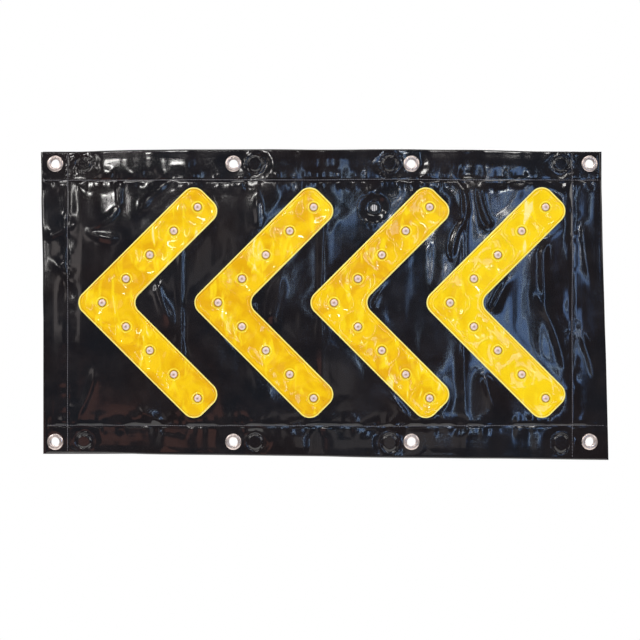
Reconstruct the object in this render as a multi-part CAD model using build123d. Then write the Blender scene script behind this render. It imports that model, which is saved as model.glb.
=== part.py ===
from build123d import *

import os
from math import atan2, degrees, dist

# A folding arrow banner: a hemmed black sheet that hangs by its eyelets, with four yellow chevrons,
# a light at each of nine places on every chevron, and a battery unit on its back.
# Millimetres. X runs to the right and Z up as someone in front of the banner sees it, and the front
# faces -Y. The origin is the centre of the four corner eyelets on the rear face of the hem.

# ---- the sheets ----
banner_width = 800.0
banner_height = 435.0
hem_width = 45.0
sheet_thickness = 0.8
pocket_depth = 2.4          # room between the front and back sheets for lights, wires and magnets
edge_radius = 2.0           # roundness of the folded edge of the hem
back_sheet_inset = 1.3      # the back sheet stops this far short of the inside of the folded edge
reflector_thickness = 1.0

# ---- the folds ----
spine_width = 12.0          # the strip of sheet that turns over at each fold
fold_gap = 0.15             # the running gap on each fold axis

# ---- the chevrons ----
chevron_count = 4
chevron_pitch = 165.0
first_nose_x = -347.0       # the rounded tip of the leftmost chevron
band_width = 58.0
corner_radius = 18.0
notch_radius = 16.0
arm_half_height = 164.0

# ---- the lights ----
lights_per_arm = 4
last_light_from_tip = 28.0  # upwards, from the last light to the end of its arm
lens_radius = 5.0
lens_flange_radius = 5.9
lens_side = 0.2             # straight side of a lens that shows in front of the sheet
lens_hole_clearance = 0.4
reflector_hole_radius = 6.2
light_board_radius = 6.2
light_board_thickness = 1.0
board_to_spine = 0.3

# ---- the ribbon wiring ----
ribbon_width = 5.0
ribbon_thickness = 0.6

# ---- the eyelets and magnets ----
eyelet_from_edge = 19.5     # from the edge of the banner to the middle of an eyelet
eyelet_hole_radius = 6.35
eyelet_wall = 0.5
eyelet_flange_radius = 11.4
eyelet_flange_height = 1.1
eyelet_curl_radius = 8.4
eyelet_curl_height = 0.6
washer_radius = 11.0
washer_thickness = 0.8
eyelet_clearance = 0.1
magnet_radius = 10.0
magnet_thickness = 2.0
outer_magnet_offset = 41.0  # from an outer eyelet towards the middle
inner_magnet_offset = 31.0  # from an inner eyelet towards the middle

# ---- the light sensor ----
sensor_x = 73.5
sensor_z = 135.0
sensor_radius = 4.6
sensor_height = 1.6
bezel_radius = 8.5
bezel_height = 0.9
bezel_clearance = 0.4

# ---- the battery unit ----
unit_x = 300.0
unit_wall = 2.0
unit_flange = 10.0
cell_radius = 7.25
cell_length = 50.5
cell_nub_radius = 2.7
cell_nub_length = 1.3
cell_count = 4
cell_gap = 0.5
cell_end_space = 3.75
cell_seat_gap = 0.3
cell_headroom = 1.2
control_length = 26.0
seal_thickness = 0.8
lid_thickness = 2.0
lid_gap = 0.4
lid_rim_depth = 2.6
lid_rim_wall = 1.6
lid_rim_clearance = 0.4
pull_length = 20.0
pull_depth = 3.0
hinge_pin_radius = 1.0
pin_clearance = 0.05
knuckle_radius = 2.4
knuckle_from_wall = 3.2
knuckle_length = 10.0
door_knuckle_length = 20.0
knuckle_gap = 0.3
pin_overhang = 1.0
contact_thickness = 0.5
contact_width = 11.0
leaf_run = 4.0
screw_radius = 1.5
screw_length = 5.0
screw_head_radius = 2.75
screw_head_height = 1.8
screw_clearance = 0.1
screw_slot_width = 0.8
screw_slot_depth = 0.9
plate_thickness = 1.2
plate_gap = 0.2
boss_radius = 3.0
boss_from_corner = 2.4
board_length = 48.0
board_width = 20.0
board_thickness = 1.6
board_post_height = 2.8
board_post_radius = 2.0
switch_size = 6.0
switch_height = 3.5
chip_length = 9.0
chip_width = 6.0
chip_height = 1.4
button_x = 12.0             # from the middle of the unit
button_radius = 5.0
button_clearance = 0.2
button_proud = 1.5
button_travel = 1.2
button_flange = 1.4
button_flange_thickness = 1.0
button_flange_gap = 0.3
button_stem_radius = 2.0
button_stop_gap = 0.1
grommet_radius = 3.4
grommet_flange_radius = 4.8
grommet_flange_thickness = 1.0
grommet_slot_clearance = 0.2

# ---- layers, from the rear face of the hem forwards ----
back_sheet_rear = -sheet_thickness
back_sheet_front = back_sheet_rear - sheet_thickness
front_sheet_rear = back_sheet_front - pocket_depth
front_sheet_face = front_sheet_rear - sheet_thickness
reflector_face = front_sheet_face - reflector_thickness
ribbon_front = back_sheet_front - ribbon_thickness
light_board_front = ribbon_front - light_board_thickness
lens_shoulder = front_sheet_face - lens_side
far = 1000.0                # past every edge of the banner

# ---- places worked out from the sizes ----
root_half = 2 ** 0.5
tip_to_sharp = corner_radius * (root_half - 1)
sharp_half_height = arm_half_height + tip_to_sharp
band_across = band_width * root_half
light_step = (arm_half_height - last_light_from_tip) / lights_per_arm
light_board_to_fold = spine_width / 2 + light_board_radius + board_to_spine
eyelet_x = banner_width / 2 - eyelet_from_edge
eyelet_z = banner_height / 2 - eyelet_from_edge
inner_eyelet_x = eyelet_x / 3


def sharp_nose(chevron):
    """Where the outer edges of a chevron would meet if its nose weren't rounded."""
    return first_nose_x + chevron * chevron_pitch - tip_to_sharp


def light_column(chevron, step):
    """X of the lights that stand this many steps behind a chevron's apex."""
    return sharp_nose(chevron) + band_across / 2 + step * light_step


fold_x = [
    light_column(0, lights_per_arm - 1) + light_board_to_fold,
    (light_column(1, lights_per_arm) + light_column(2, 0)) / 2,
    light_column(3, 1) - light_board_to_fold,
]
fold_edges = [x + side * spine_width / 2 for x in fold_x for side in (-1, 1)]
body_edges = [-far] + fold_edges + [far]
body_spans = [(a + fold_gap / 2, b - fold_gap / 2) for a, b in zip(body_edges, body_edges[1:])]
panel_spans = body_spans[::2]
spine_spans = body_spans[1::2]

nodes = {}


# ---- small helpers ----
def block(x0, x1, y0, y1, z0, z1):
    """A box between two corners."""
    middle = Pos((x0 + x1) / 2, (y0 + y1) / 2, (z0 + z1) / 2)
    return middle * Box(x1 - x0, y1 - y0, z1 - z0)


def disc(x, z, radius, y0, y1):
    """A round slab that lies in the sheet's plane, from y0 to y1."""
    return Pos(x, (y0 + y1) / 2, z) * Rot(90, 0, 0) * Cylinder(radius, y1 - y0)


def upright(x, y, radius, z0, z1):
    """A round bar along Z, from z0 to z1."""
    return Pos(x, y, (z0 + z1) / 2) * Cylinder(radius, z1 - z0)


def slab(plan, y0, y1):
    """A flat shape drawn in X and Z, with thickness from y0 to y1."""
    return Pos(0, y1, 0) * Rot(90, 0, 0) * extrude(plan, y1 - y0)


def spun(profile, x, z):
    """A profile of radius and Y, turned about the Y axis and put at x, z."""
    return Pos(x, 0, z) * revolve(profile, Axis.Y)


def section(whole, span):
    """The part of a shape between two X values."""
    return whole & block(span[0], span[1], -far, far, -far, far)


def keep(name, shapes):
    """Store a node: one shape, or several separate solids."""
    solids = [solid for shape in shapes for solid in shape.solids()]
    nodes[name] = Compound(solids)


def on_span(points, span):
    """The points whose X lies on a body."""
    return [point for point in points if span[0] < point[0] < span[1]]


# ---- sheets ----
def front_sheet():
    """The front sheet, folded round every edge into a hem on the back."""
    outside = Pos(0, front_sheet_face / 2, 0) * Box(banner_width, -front_sheet_face, banner_height)
    outside = fillet(outside.edges(), edge_radius)
    room = sheet_thickness * 2
    inside = Pos(0, front_sheet_face / 2, 0) * Box(
        banner_width - room, -front_sheet_face - room, banner_height - room
    )
    inside = fillet(inside.edges(), edge_radius - sheet_thickness)
    half_x = banner_width / 2 - hem_width
    half_z = banner_height / 2 - hem_width
    window = block(-half_x, half_x, back_sheet_rear - 0.1, 1, -half_z, half_z)
    return outside - inside - window


def back_sheet():
    """The back sheet, tucked under the hem all round."""
    half_x = banner_width / 2 - sheet_thickness - back_sheet_inset
    half_z = banner_height / 2 - sheet_thickness - back_sheet_inset
    return block(-half_x, half_x, back_sheet_front, back_sheet_rear, -half_z, half_z)


def chevron_plan(chevron):
    """The outline of one chevron: two arms at 45 degrees that meet in a nose on the left."""
    nose = sharp_nose(chevron)
    reach = nose + sharp_half_height
    step = band_width / root_half
    corners = [
        (nose, 0),
        (reach, sharp_half_height),
        (reach + step, sharp_half_height - step),
        (nose + band_across, 0),
        (reach + step, step - sharp_half_height),
        (reach, -sharp_half_height),
    ]
    plan = make_face(Polyline(*corners, close=True))
    notch = corners.pop(3)
    plan = fillet(plan.vertices().sort_by_distance(notch)[0], notch_radius)
    outer = [plan.vertices().sort_by_distance(corner)[0] for corner in corners]
    return fillet(outer, corner_radius)


def light_points():
    """The centre of every light."""
    points = []
    for chevron in range(chevron_count):
        for step in range(-lights_per_arm, lights_per_arm + 1):
            points.append((light_column(chevron, abs(step)), step * light_step))
    return points


def reflectors():
    """The four chevrons, with a hole for each light."""
    whole = [slab(chevron_plan(i), reflector_face, front_sheet_face) for i in range(chevron_count)]
    holes = [disc(x, z, reflector_hole_radius, reflector_face - 1, 1) for x, z in light_points()]
    return [chevron - holes for chevron in whole]


# ---- lights ----
def light_lens(x, z):
    """A round-topped light, with the flange that stays under the front sheet."""
    root = light_board_front
    outline = Polyline(
        (0, root),
        (lens_flange_radius, root),
        (lens_flange_radius, front_sheet_rear),
        (lens_radius, front_sheet_rear),
        (lens_radius, lens_shoulder),
    )
    dome = RadiusArc((lens_radius, lens_shoulder), (0, lens_shoulder - lens_radius), lens_radius)
    axis_line = Line((0, lens_shoulder - lens_radius), (0, root))
    return spun(make_face(outline + dome + axis_line), x, z)


def light_board(x, z):
    """The small round board that a light is soldered to."""
    return disc(x, z, light_board_radius, light_board_front, ribbon_front)


def ribbon_run(start, end):
    """The plan of one straight stretch of ribbon, with rounded ends."""
    middle = ((start[0] + end[0]) / 2, (start[1] + end[1]) / 2)
    heading = degrees(atan2(end[1] - start[1], end[0] - start[0]))
    return Pos(*middle) * SlotCenterToCenter(dist(start, end), ribbon_width, rotation=heading)


def wiring():
    """Flat ribbon along every arm, one trunk through the four apexes, and the leads off them."""
    runs = [((light_column(0, 0), 0), (unit_x, 0)), ((unit_x, 0), (unit_x, control_z))]
    for chevron in range(chevron_count):
        for side in (-1, 1):
            tip = (light_column(chevron, lights_per_arm), side * lights_per_arm * light_step)
            runs.append(((light_column(chevron, 0), 0), tip))
    third_arm_z = sensor_x - light_column(2, 0)
    runs.append(((sensor_x, third_arm_z), (sensor_x, sensor_z)))
    flat = [slab(ribbon_run(*run), ribbon_front, back_sheet_front) for run in runs]
    riser = block(
        unit_x - ribbon_width / 2,
        unit_x + ribbon_width / 2,
        ribbon_front,
        board_rear,
        control_z,
        control_z + ribbon_thickness,
    )
    return flat[0] + flat[1:] + riser


# ---- eyelets and magnets ----
def eyelet(x, z):
    """A rolled eyelet: a domed rim on the front, a barrel, and a curl over the washer behind."""
    outer = eyelet_hole_radius + eyelet_wall
    front = front_sheet_face
    curl = washer_thickness + eyelet_curl_height
    outline = Polyline(
        (eyelet_hole_radius, front - eyelet_flange_height / 2),
        (eyelet_hole_radius, curl),
        (eyelet_curl_radius, curl),
        (eyelet_curl_radius, washer_thickness),
        (outer, washer_thickness),
        (outer, front),
        (eyelet_flange_radius, front),
    )
    middle = ((eyelet_hole_radius + eyelet_flange_radius) / 2, front - eyelet_flange_height)
    rim = ThreePointArc(outline @ 1, middle, outline @ 0)
    return spun(make_face(outline + rim), x, z)


def eyelet_washer(x, z):
    ring = disc(x, z, washer_radius, 0, washer_thickness)
    return ring - disc(x, z, eyelet_hole_radius + eyelet_wall + eyelet_clearance, -1, 2)


def magnet(x, z):
    middle = (back_sheet_front + front_sheet_rear) / 2
    return disc(x, z, magnet_radius, middle - magnet_thickness / 2, middle + magnet_thickness / 2)


def four_columns(outer, inner):
    """Points on the middle line of both long hems, at an outer and an inner distance from X 0."""
    return [(x, z) for x in (-outer, -inner, inner, outer) for z in (-eyelet_z, eyelet_z)]


# ---- light sensor ----
def sensor_cell():
    """The sensor behind a clear window, with the flange that stays under the front sheet."""
    flange = disc(sensor_x, sensor_z, lens_flange_radius, front_sheet_rear, light_board_front)
    window = front_sheet_face - sensor_height
    return flange + disc(sensor_x, sensor_z, sensor_radius, window, front_sheet_rear)


def sensor_bezel():
    ring = disc(sensor_x, sensor_z, bezel_radius, front_sheet_face - bezel_height, front_sheet_face)
    front = ring.faces().sort_by(Axis.Y)[0]
    ring = chamfer(front.edges(), bezel_height / 2)
    return ring - disc(sensor_x, sensor_z, sensor_radius + bezel_clearance, front_sheet_face - far, 0)


# ---- battery unit ----
bay_depth = cell_seat_gap + 2 * cell_radius + cell_headroom
bay_width = cell_count * 2 * cell_radius + (cell_count + 1) * cell_gap
bay_length = cell_length + 2 * cell_end_space
unit_width = bay_width + 2 * unit_wall
unit_length = bay_length + control_length + 3 * unit_wall
unit_left = unit_x - unit_width / 2
unit_right = unit_x + unit_width / 2
unit_bottom = -unit_length / 2
unit_top = unit_length / 2
bay_bottom = unit_bottom + unit_wall
bay_top = bay_bottom + bay_length
control_bottom = bay_top + unit_wall
control_top = unit_top - unit_wall
control_z = (control_bottom + control_top) / 2
floor_face = back_sheet_rear + unit_wall
wall_top = floor_face + bay_depth
seal_top = wall_top + seal_thickness
lid_top = seal_top + lid_thickness
divide = bay_top + unit_wall / 2
board_rear = floor_face + board_post_height
board_face = board_rear + board_thickness
plate_front = front_sheet_rear + plate_gap
hinge_x = unit_right + knuckle_from_wall
hinge_y = seal_top + lid_thickness / 2
door_knuckle_bottom = -knuckle_length - door_knuckle_length / 2
door_knuckle_top = door_knuckle_bottom + door_knuckle_length
case_knuckles = [
    (door_knuckle_bottom - knuckle_gap - knuckle_length, door_knuckle_bottom - knuckle_gap),
    (door_knuckle_top + knuckle_gap, door_knuckle_top + knuckle_gap + knuckle_length),
]
flange_screws = [
    (x, z)
    for x in (unit_left - unit_flange / 2, unit_right + unit_flange / 2)
    for z in (unit_bottom + unit_flange / 2, unit_top - unit_flange / 2)
]
cover_screws = [
    (unit_left + unit_wall + boss_from_corner, control_top - boss_from_corner),
    (unit_right - unit_wall - boss_from_corner, control_top - boss_from_corner),
]


def bored(shape, points, radius, y0, y1):
    """A shape with a round hole at each point."""
    return shape - [disc(x, z, radius, y0, y1) for x, z in points]


def backing_plate():
    """The plate between the sheets that the unit's screws go into."""
    rear = plate_front + plate_thickness
    plate = block(
        unit_left - unit_flange, unit_right + unit_flange, plate_front, rear, unit_bottom, unit_top
    )
    return bored(plate, flange_screws, screw_radius + screw_clearance, plate_front - 1, 1)


def knuckle(z0, z1, root_y0):
    """A hinge barrel, and the web that joins it to the unit's side."""
    web = block(unit_right, hinge_x, root_y0, hinge_y, z0, z1)
    return web + upright(hinge_x, hinge_y, knuckle_radius, z0, z1)


def battery_case():
    """An open tray with a battery bay, a control compartment, screw flanges and hinge knuckles."""
    tray = block(unit_left, unit_right, back_sheet_rear, wall_top, unit_bottom, unit_top)
    inside = (unit_left + unit_wall, unit_right - unit_wall, floor_face, far)
    tray -= block(*inside, bay_bottom, bay_top)
    tray -= block(*inside, control_bottom, control_top)
    flange_left = unit_left - unit_flange
    flange_right = unit_right + unit_flange
    flange = block(flange_left, flange_right, back_sheet_rear, floor_face, unit_bottom, unit_top)
    flange = fillet(flange.edges().filter_by(Axis.Y), unit_flange / 2)
    posts = [
        disc(unit_x + side * board_length / 3, control_z, board_post_radius, floor_face, board_rear)
        for side in (-1, 1)
    ]
    bosses = [disc(x, z, boss_radius, floor_face, wall_top) for x, z in cover_screws]
    case = tray + flange + posts + bosses
    for z0, z1 in case_knuckles:
        case += knuckle(z0, z1, wall_top - 2 * knuckle_radius)
    case -= upright(hinge_x, hinge_y, hinge_pin_radius + pin_clearance, -far, far)
    case = bored(case, flange_screws, screw_radius + screw_clearance, -far, far)
    case = bored(case, cover_screws, screw_radius + screw_clearance, wall_top - screw_length, far)
    return case - disc(unit_x, control_z, grommet_radius + screw_clearance, -far, floor_face)


def case_seal():
    """A flat gasket on the rim of the tray, with a window over each compartment."""
    seal = block(unit_left, unit_right, wall_top, seal_top, unit_bottom, unit_top)
    inner = (unit_left + unit_wall, unit_right - unit_wall, wall_top - 1, seal_top + 1)
    seal -= block(*inner, bay_bottom, bay_top)
    return bored(
        seal - block(*inner, control_bottom, control_top - 2 * boss_from_corner),
        cover_screws,
        screw_radius + screw_clearance,
        wall_top - 1,
        seal_top + 1,
    )


def battery_door():
    """The lid of the battery bay: a plate, a rim that fits inside the bay, a knuckle and a pull."""
    top = divide - lid_gap / 2
    plate = block(unit_left, unit_right, seal_top, lid_top, unit_bottom, top)
    pull_bottom = door_knuckle_bottom
    pull_top = pull_bottom + pull_length
    plate += block(unit_left - pull_depth, unit_left, seal_top, lid_top, pull_bottom, pull_top)
    x0 = unit_left + unit_wall + lid_rim_clearance
    x1 = unit_right - unit_wall - lid_rim_clearance
    z0 = bay_bottom + lid_rim_clearance
    z1 = bay_top - lid_rim_clearance
    rim = block(x0, x1, seal_top - lid_rim_depth, seal_top, z0, z1)
    rim -= block(
        x0 + lid_rim_wall, x1 - lid_rim_wall, -far, seal_top, z0 + lid_rim_wall, z1 - lid_rim_wall
    )
    door = plate + rim
    door += block(unit_right, hinge_x, seal_top, lid_top, door_knuckle_bottom, door_knuckle_top)
    door += upright(hinge_x, hinge_y, knuckle_radius, door_knuckle_bottom, door_knuckle_top)
    return door - upright(hinge_x, hinge_y, hinge_pin_radius + pin_clearance, -far, far)


def door_pin():
    z0 = case_knuckles[0][0] - pin_overhang
    z1 = case_knuckles[1][1] + pin_overhang
    return upright(hinge_x, hinge_y, hinge_pin_radius, z0, z1)


def cell_places():
    """X of each battery cell, and which way up it goes."""
    pitch = 2 * cell_radius + cell_gap
    first = unit_x - pitch * (cell_count - 1) / 2
    return [(first + i * pitch, 1 if i % 2 else -1) for i in range(cell_count)]


def battery_cell(x, way_up):
    """A cylindrical cell with its positive nub."""
    y = floor_face + cell_seat_gap + cell_radius
    middle = (bay_bottom + bay_top) / 2
    nub_end = middle + way_up * cell_length / 2
    nub_start = nub_end - way_up * cell_nub_length
    base = middle - way_up * cell_length / 2
    body = upright(x, y, cell_radius, min(base, nub_start), max(base, nub_start))
    return body + upright(x, y, cell_nub_radius, min(nub_start, nub_end), max(nub_start, nub_end))


def battery_contact(x, end):
    """A flat contact on an end wall of the bay, with a leaf that leans towards the cell."""
    wall = bay_top if end > 0 else bay_bottom
    inner = wall - end * contact_thickness
    y0 = floor_face + cell_seat_gap + cell_radius - contact_width / 2
    half = contact_width / 2
    plate = block(x - half, x + half, y0, y0 + contact_width, min(wall, inner), max(wall, inner))
    reach = cell_end_space - cell_seat_gap
    tip_y = y0 + contact_width - leaf_run
    leaf = make_face(
        Polyline(
            (y0, wall),
            (tip_y, wall - end * reach),
            (tip_y, wall - end * (reach - contact_thickness)),
            (y0 + 2 * contact_thickness, wall),
            close=True,
        )
    )
    leaf = extrude(Plane.YZ * leaf, contact_width / 2)
    return plate + Pos(x - contact_width / 4, 0, 0) * leaf


def control_board():
    """The board that flashes the lights: a plate, a controller chip and a push switch."""
    half_x = board_length / 2
    half_z = board_width / 2
    plate = block(
        unit_x - half_x, unit_x + half_x, board_rear, board_face, control_z - half_z, control_z + half_z
    )
    chip_x = unit_x - chip_length
    chip = block(
        chip_x - chip_length / 2,
        chip_x + chip_length / 2,
        board_face,
        board_face + chip_height,
        control_z - chip_width / 2,
        control_z + chip_width / 2,
    )
    switch = block(
        unit_x + button_x - switch_size / 2,
        unit_x + button_x + switch_size / 2,
        board_face,
        board_face + switch_height,
        control_z - switch_size / 2,
        control_z + switch_size / 2,
    )
    return [plate, chip, switch]


def control_cover():
    """The screwed-down lid of the control compartment, with the hole for the button."""
    cover = block(unit_left, unit_right, seal_top, lid_top, divide + lid_gap / 2, unit_top)
    cover = bored(cover, cover_screws, screw_radius + screw_clearance, seal_top - 1, lid_top + 1)
    button_hole = (unit_x + button_x, control_z)
    return bored(cover, [button_hole], button_radius + button_clearance, seal_top - 1, lid_top + 1)


def power_button():
    """The push button: a cap, a flange that keeps it under the cover, and a stem over the switch."""
    x = unit_x + button_x
    cap = disc(x, control_z, button_radius, seal_top - button_flange_gap, lid_top + button_proud)
    top = cap.faces().sort_by(Axis.Y)[-1]
    cap = fillet(top.edges(), button_proud / 2)
    flange_top = seal_top - button_flange_gap
    flange_rear = flange_top - button_flange_thickness
    flange = disc(x, control_z, button_radius + button_flange, flange_rear, flange_top)
    stem_end = board_face + switch_height + button_travel + button_stop_gap
    return cap + flange + disc(x, control_z, button_stem_radius, stem_end, flange_rear)


def screw(x, z, seat):
    """A slotted pan-head screw whose head sits on the given face."""
    head = disc(x, z, screw_head_radius, seat, seat + screw_head_height)
    head -= block(
        x - screw_slot_width / 2,
        x + screw_slot_width / 2,
        seat + screw_head_height - screw_slot_depth,
        seat + screw_head_height + 1,
        z - screw_head_radius,
        z + screw_head_radius,
    )
    return head + disc(x, z, screw_radius, seat - screw_length, seat)


def lead_grommet():
    """The rubber sleeve where the ribbon comes through the back sheet and the tray's floor."""
    rear = floor_face + grommet_flange_thickness
    sleeve = disc(unit_x, control_z, grommet_radius, back_sheet_front, floor_face)
    sleeve += disc(unit_x, control_z, grommet_flange_radius, floor_face, rear)
    return sleeve - block(
        unit_x - ribbon_width / 2 - grommet_slot_clearance,
        unit_x + ribbon_width / 2 + grommet_slot_clearance,
        back_sheet_front - 1,
        rear + 1,
        control_z - grommet_slot_clearance,
        control_z + ribbon_thickness + grommet_slot_clearance,
    )


# ---- assembly ----
def build():
    lights = light_points()
    eyelets = four_columns(eyelet_x, inner_eyelet_x)
    magnets = four_columns(eyelet_x - outer_magnet_offset, inner_eyelet_x - inner_magnet_offset)
    barrel_radius = eyelet_hole_radius + eyelet_wall + eyelet_clearance
    lens_holes = lights + [(sensor_x, sensor_z)]
    front = bored(front_sheet(), lens_holes, lens_radius + lens_hole_clearance, -far, back_sheet_front)
    front = bored(front, eyelets, barrel_radius, -far, far)
    rear = bored(back_sheet(), eyelets, barrel_radius, -far, far)
    rear = bored(rear, flange_screws, screw_radius + screw_clearance, -far, far)
    rear -= disc(unit_x, control_z, grommet_radius + screw_clearance, -far, far)
    chevrons = reflectors()
    ribbon = wiring()

    for number, span in enumerate(panel_spans, start=1):
        here = on_span(lights, span)
        hung = on_span(eyelets, span)
        keep(f"front_sheet_{number}", [section(front, span)])
        keep(f"back_sheet_{number}", [section(rear, span)])
        keep(f"reflectors_{number}", [section(chevron, span) for chevron in chevrons])
        keep(f"light_lenses_{number}", [light_lens(x, z) for x, z in here])
        keep(f"light_boards_{number}", [light_board(x, z) for x, z in here])
        keep(f"ribbon_wiring_{number}", [section(ribbon, span)])
        keep(f"eyelets_{number}", [eyelet(x, z) for x, z in hung])
        keep(f"eyelet_washers_{number}", [eyelet_washer(x, z) for x, z in hung])
        keep(f"magnets_{number}", [magnet(x, z) for x, z in on_span(magnets, span)])

    for number, span in enumerate(spine_spans, start=1):
        keep(f"fold_sheets_{number}", [section(front, span), section(rear, span)])
        keep(f"fold_reflectors_{number}", [section(chevron, span) for chevron in chevrons])
        keep(f"fold_ribbon_{number}", [section(ribbon, span)])

    keep("sensor_cell", [sensor_cell()])
    keep("sensor_bezel", [sensor_bezel()])
    keep("sensor_board", [light_board(sensor_x, sensor_z)])

    keep("backing_plate", [backing_plate()])
    keep("battery_case", [battery_case()])
    keep("case_seal", [case_seal()])
    keep("battery_door", [battery_door()])
    keep("door_pin", [door_pin()])
    keep("battery_cells", [battery_cell(x, way_up) for x, way_up in cell_places()])
    keep("battery_contacts", [battery_contact(x, end) for x, _ in cell_places() for end in (-1, 1)])
    keep("control_board", control_board())
    keep("control_cover", [control_cover()])
    keep("power_button", [power_button()])
    keep("lead_grommet", [lead_grommet()])
    screws = [screw(x, z, floor_face) for x, z in flange_screws]
    keep("unit_screws", screws + [screw(x, z, lid_top) for x, z in cover_screws])


build()
os.makedirs("parts", exist_ok=True)
for name, shape in nodes.items():
    export_step(shape, f"parts/{name}.step")
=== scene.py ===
import math

import bmesh
import bpy
import numpy as np
from mathutils.geometry import delaunay_2d_cdt
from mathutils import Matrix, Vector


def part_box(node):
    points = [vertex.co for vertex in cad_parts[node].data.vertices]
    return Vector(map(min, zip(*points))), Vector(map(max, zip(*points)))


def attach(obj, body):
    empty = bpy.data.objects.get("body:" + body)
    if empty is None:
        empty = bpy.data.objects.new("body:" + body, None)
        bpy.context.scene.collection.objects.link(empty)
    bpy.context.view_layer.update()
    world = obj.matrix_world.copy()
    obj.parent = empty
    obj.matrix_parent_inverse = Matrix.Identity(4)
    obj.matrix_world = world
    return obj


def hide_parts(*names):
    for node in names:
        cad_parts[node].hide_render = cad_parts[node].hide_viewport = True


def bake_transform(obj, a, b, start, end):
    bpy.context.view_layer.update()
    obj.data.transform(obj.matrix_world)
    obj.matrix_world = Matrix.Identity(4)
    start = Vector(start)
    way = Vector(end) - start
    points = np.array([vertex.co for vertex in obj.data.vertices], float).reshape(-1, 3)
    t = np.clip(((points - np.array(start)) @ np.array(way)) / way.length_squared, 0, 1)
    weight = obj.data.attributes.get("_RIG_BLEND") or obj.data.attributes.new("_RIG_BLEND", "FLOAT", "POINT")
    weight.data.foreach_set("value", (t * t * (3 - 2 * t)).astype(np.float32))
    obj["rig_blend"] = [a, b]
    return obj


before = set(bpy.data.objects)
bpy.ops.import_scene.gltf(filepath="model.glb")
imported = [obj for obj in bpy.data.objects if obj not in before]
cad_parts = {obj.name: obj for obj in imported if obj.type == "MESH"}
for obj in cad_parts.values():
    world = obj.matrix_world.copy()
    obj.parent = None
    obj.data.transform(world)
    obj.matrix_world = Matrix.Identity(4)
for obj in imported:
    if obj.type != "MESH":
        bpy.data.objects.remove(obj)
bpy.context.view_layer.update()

# A folding arrow banner: hemmed black sheet, four yellow chevrons, thirty-six lights, eight eyelets and a
# battery unit behind. Sizes here are in millimetres, and become metres where a mesh or a light is made.
# The front faces -Y, X runs to the viewer's right and Z runs up.

MM = 0.001
ROOT_TWO = math.sqrt(2)
BEYOND = 1000.0             # an X well past either end of the banner


# ---- places, read from the frame ----
def box_mm(node):
    """Lowest and highest corner of a CAD node, in millimetres."""
    low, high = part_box(node)
    return np.array(low) / MM, np.array(high) / MM


def spots(prefix, apart):
    """Centres (x, z) of the separate pieces in the nodes whose names start with prefix."""
    found = []
    for name in sorted(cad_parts):
        if not name.startswith(prefix):
            continue
        points = np.array([(v.co.x, v.co.z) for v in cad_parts[name].data.vertices]) / MM
        while len(points):
            near = np.hypot(*(points - points[0]).T) < apart
            found.append((points[near].min(0) + points[near].max(0)) / 2)
            points = points[~near]
    return np.array(found)


SHEET_THICKNESS = 0.8
HEM_WIDTH = 45.0
STITCH_INSET = 42.5         # from the edge of the banner to the hem stitching
LEFT_SEAM_OUT = 5.0         # the short seams aren't quite true: the left one is this much nearer its edge,
RIGHT_SEAM_IN = 2.0         # and the right one this much further from its own
HINGE_CLEARANCE = 0.075     # between a fold strip and the hinge line beside it
LIGHT_APART = 20.0          # less than the distance between two lights
HEM_PIECE_APART = 30.0      # less than the distance between two eyelets or two magnets

sheet_low, sheet_high = box_mm("front_sheet_1")
half_x = -sheet_low[0]
half_z = sheet_high[2]
front_face = sheet_low[1]
edge_radius = -front_face / 2
back_face = box_mm("back_sheet_1")[1][1]
lights = spots("light_lenses", LIGHT_APART)
eyelets = spots("eyelets", HEM_PIECE_APART)
magnets = spots("magnets", HEM_PIECE_APART)
sensor = spots("sensor_bezel", HEM_PIECE_APART)
folds = [box_mm(f"fold_sheets_{n}") for n in (1, 2, 3)]
fold_x = [(low[0] + high[0]) / 2 for low, high in folds]
hinge_offset = (folds[0][1][0] - folds[0][0][0]) / 2 + HINGE_CLEARANCE
unit_low, unit_high = box_mm("battery_case")

# ---- chevron sizes ----
CORNER_RADIUS = 18.0
NOTCH_RADIUS = 16.0
FOLD_ACROSS = (1, 2, 2, 3)  # the fold that crosses each chevron
apexes = sorted(x for x, z in lights if abs(z) < 1)
first_nose = box_mm("reflectors_1")[0][0] - CORNER_RADIUS * (ROOT_TWO - 1)
band_across = 2 * (apexes[0] - first_nose)
band_half = band_across / ROOT_TWO / 2
arm_height = box_mm("reflectors_4")[1][2] + CORNER_RADIUS * (ROOT_TWO - 1)

# ---- the stretches of sheet: each one bends over one fold hinge ----
middle_2 = (fold_x[0] + fold_x[1]) / 2
middle_3 = (fold_x[1] + fold_x[2]) / 2
cuts = [-BEYOND, fold_x[0], middle_2, fold_x[1], middle_3, fold_x[2], BEYOND]
stretches = []
for number in range(6):
    fold = number // 2 + 1
    left_of_fold = number % 2 == 0
    panel = fold if left_of_fold else fold + 1
    hinge = fold_x[fold - 1] + (-hinge_offset if left_of_fold else hinge_offset)
    pair = (f"panel_{panel}", f"fold_{fold}") if left_of_fold else (f"fold_{fold}", f"panel_{panel}")
    stretches.append({
        "span": (cuts[number], cuts[number + 1]),
        "pair": pair,
        "panel": panel,
        "fold": fold,
        "hinge": hinge,
    })


# ---- shape helpers ----
def smooth(low, high, value):
    """0 below low, 1 above high, and a smooth rise between them."""
    t = np.clip((value - low) / (high - low), 0, 1)
    return t * t * (3 - 2 * t)


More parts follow.
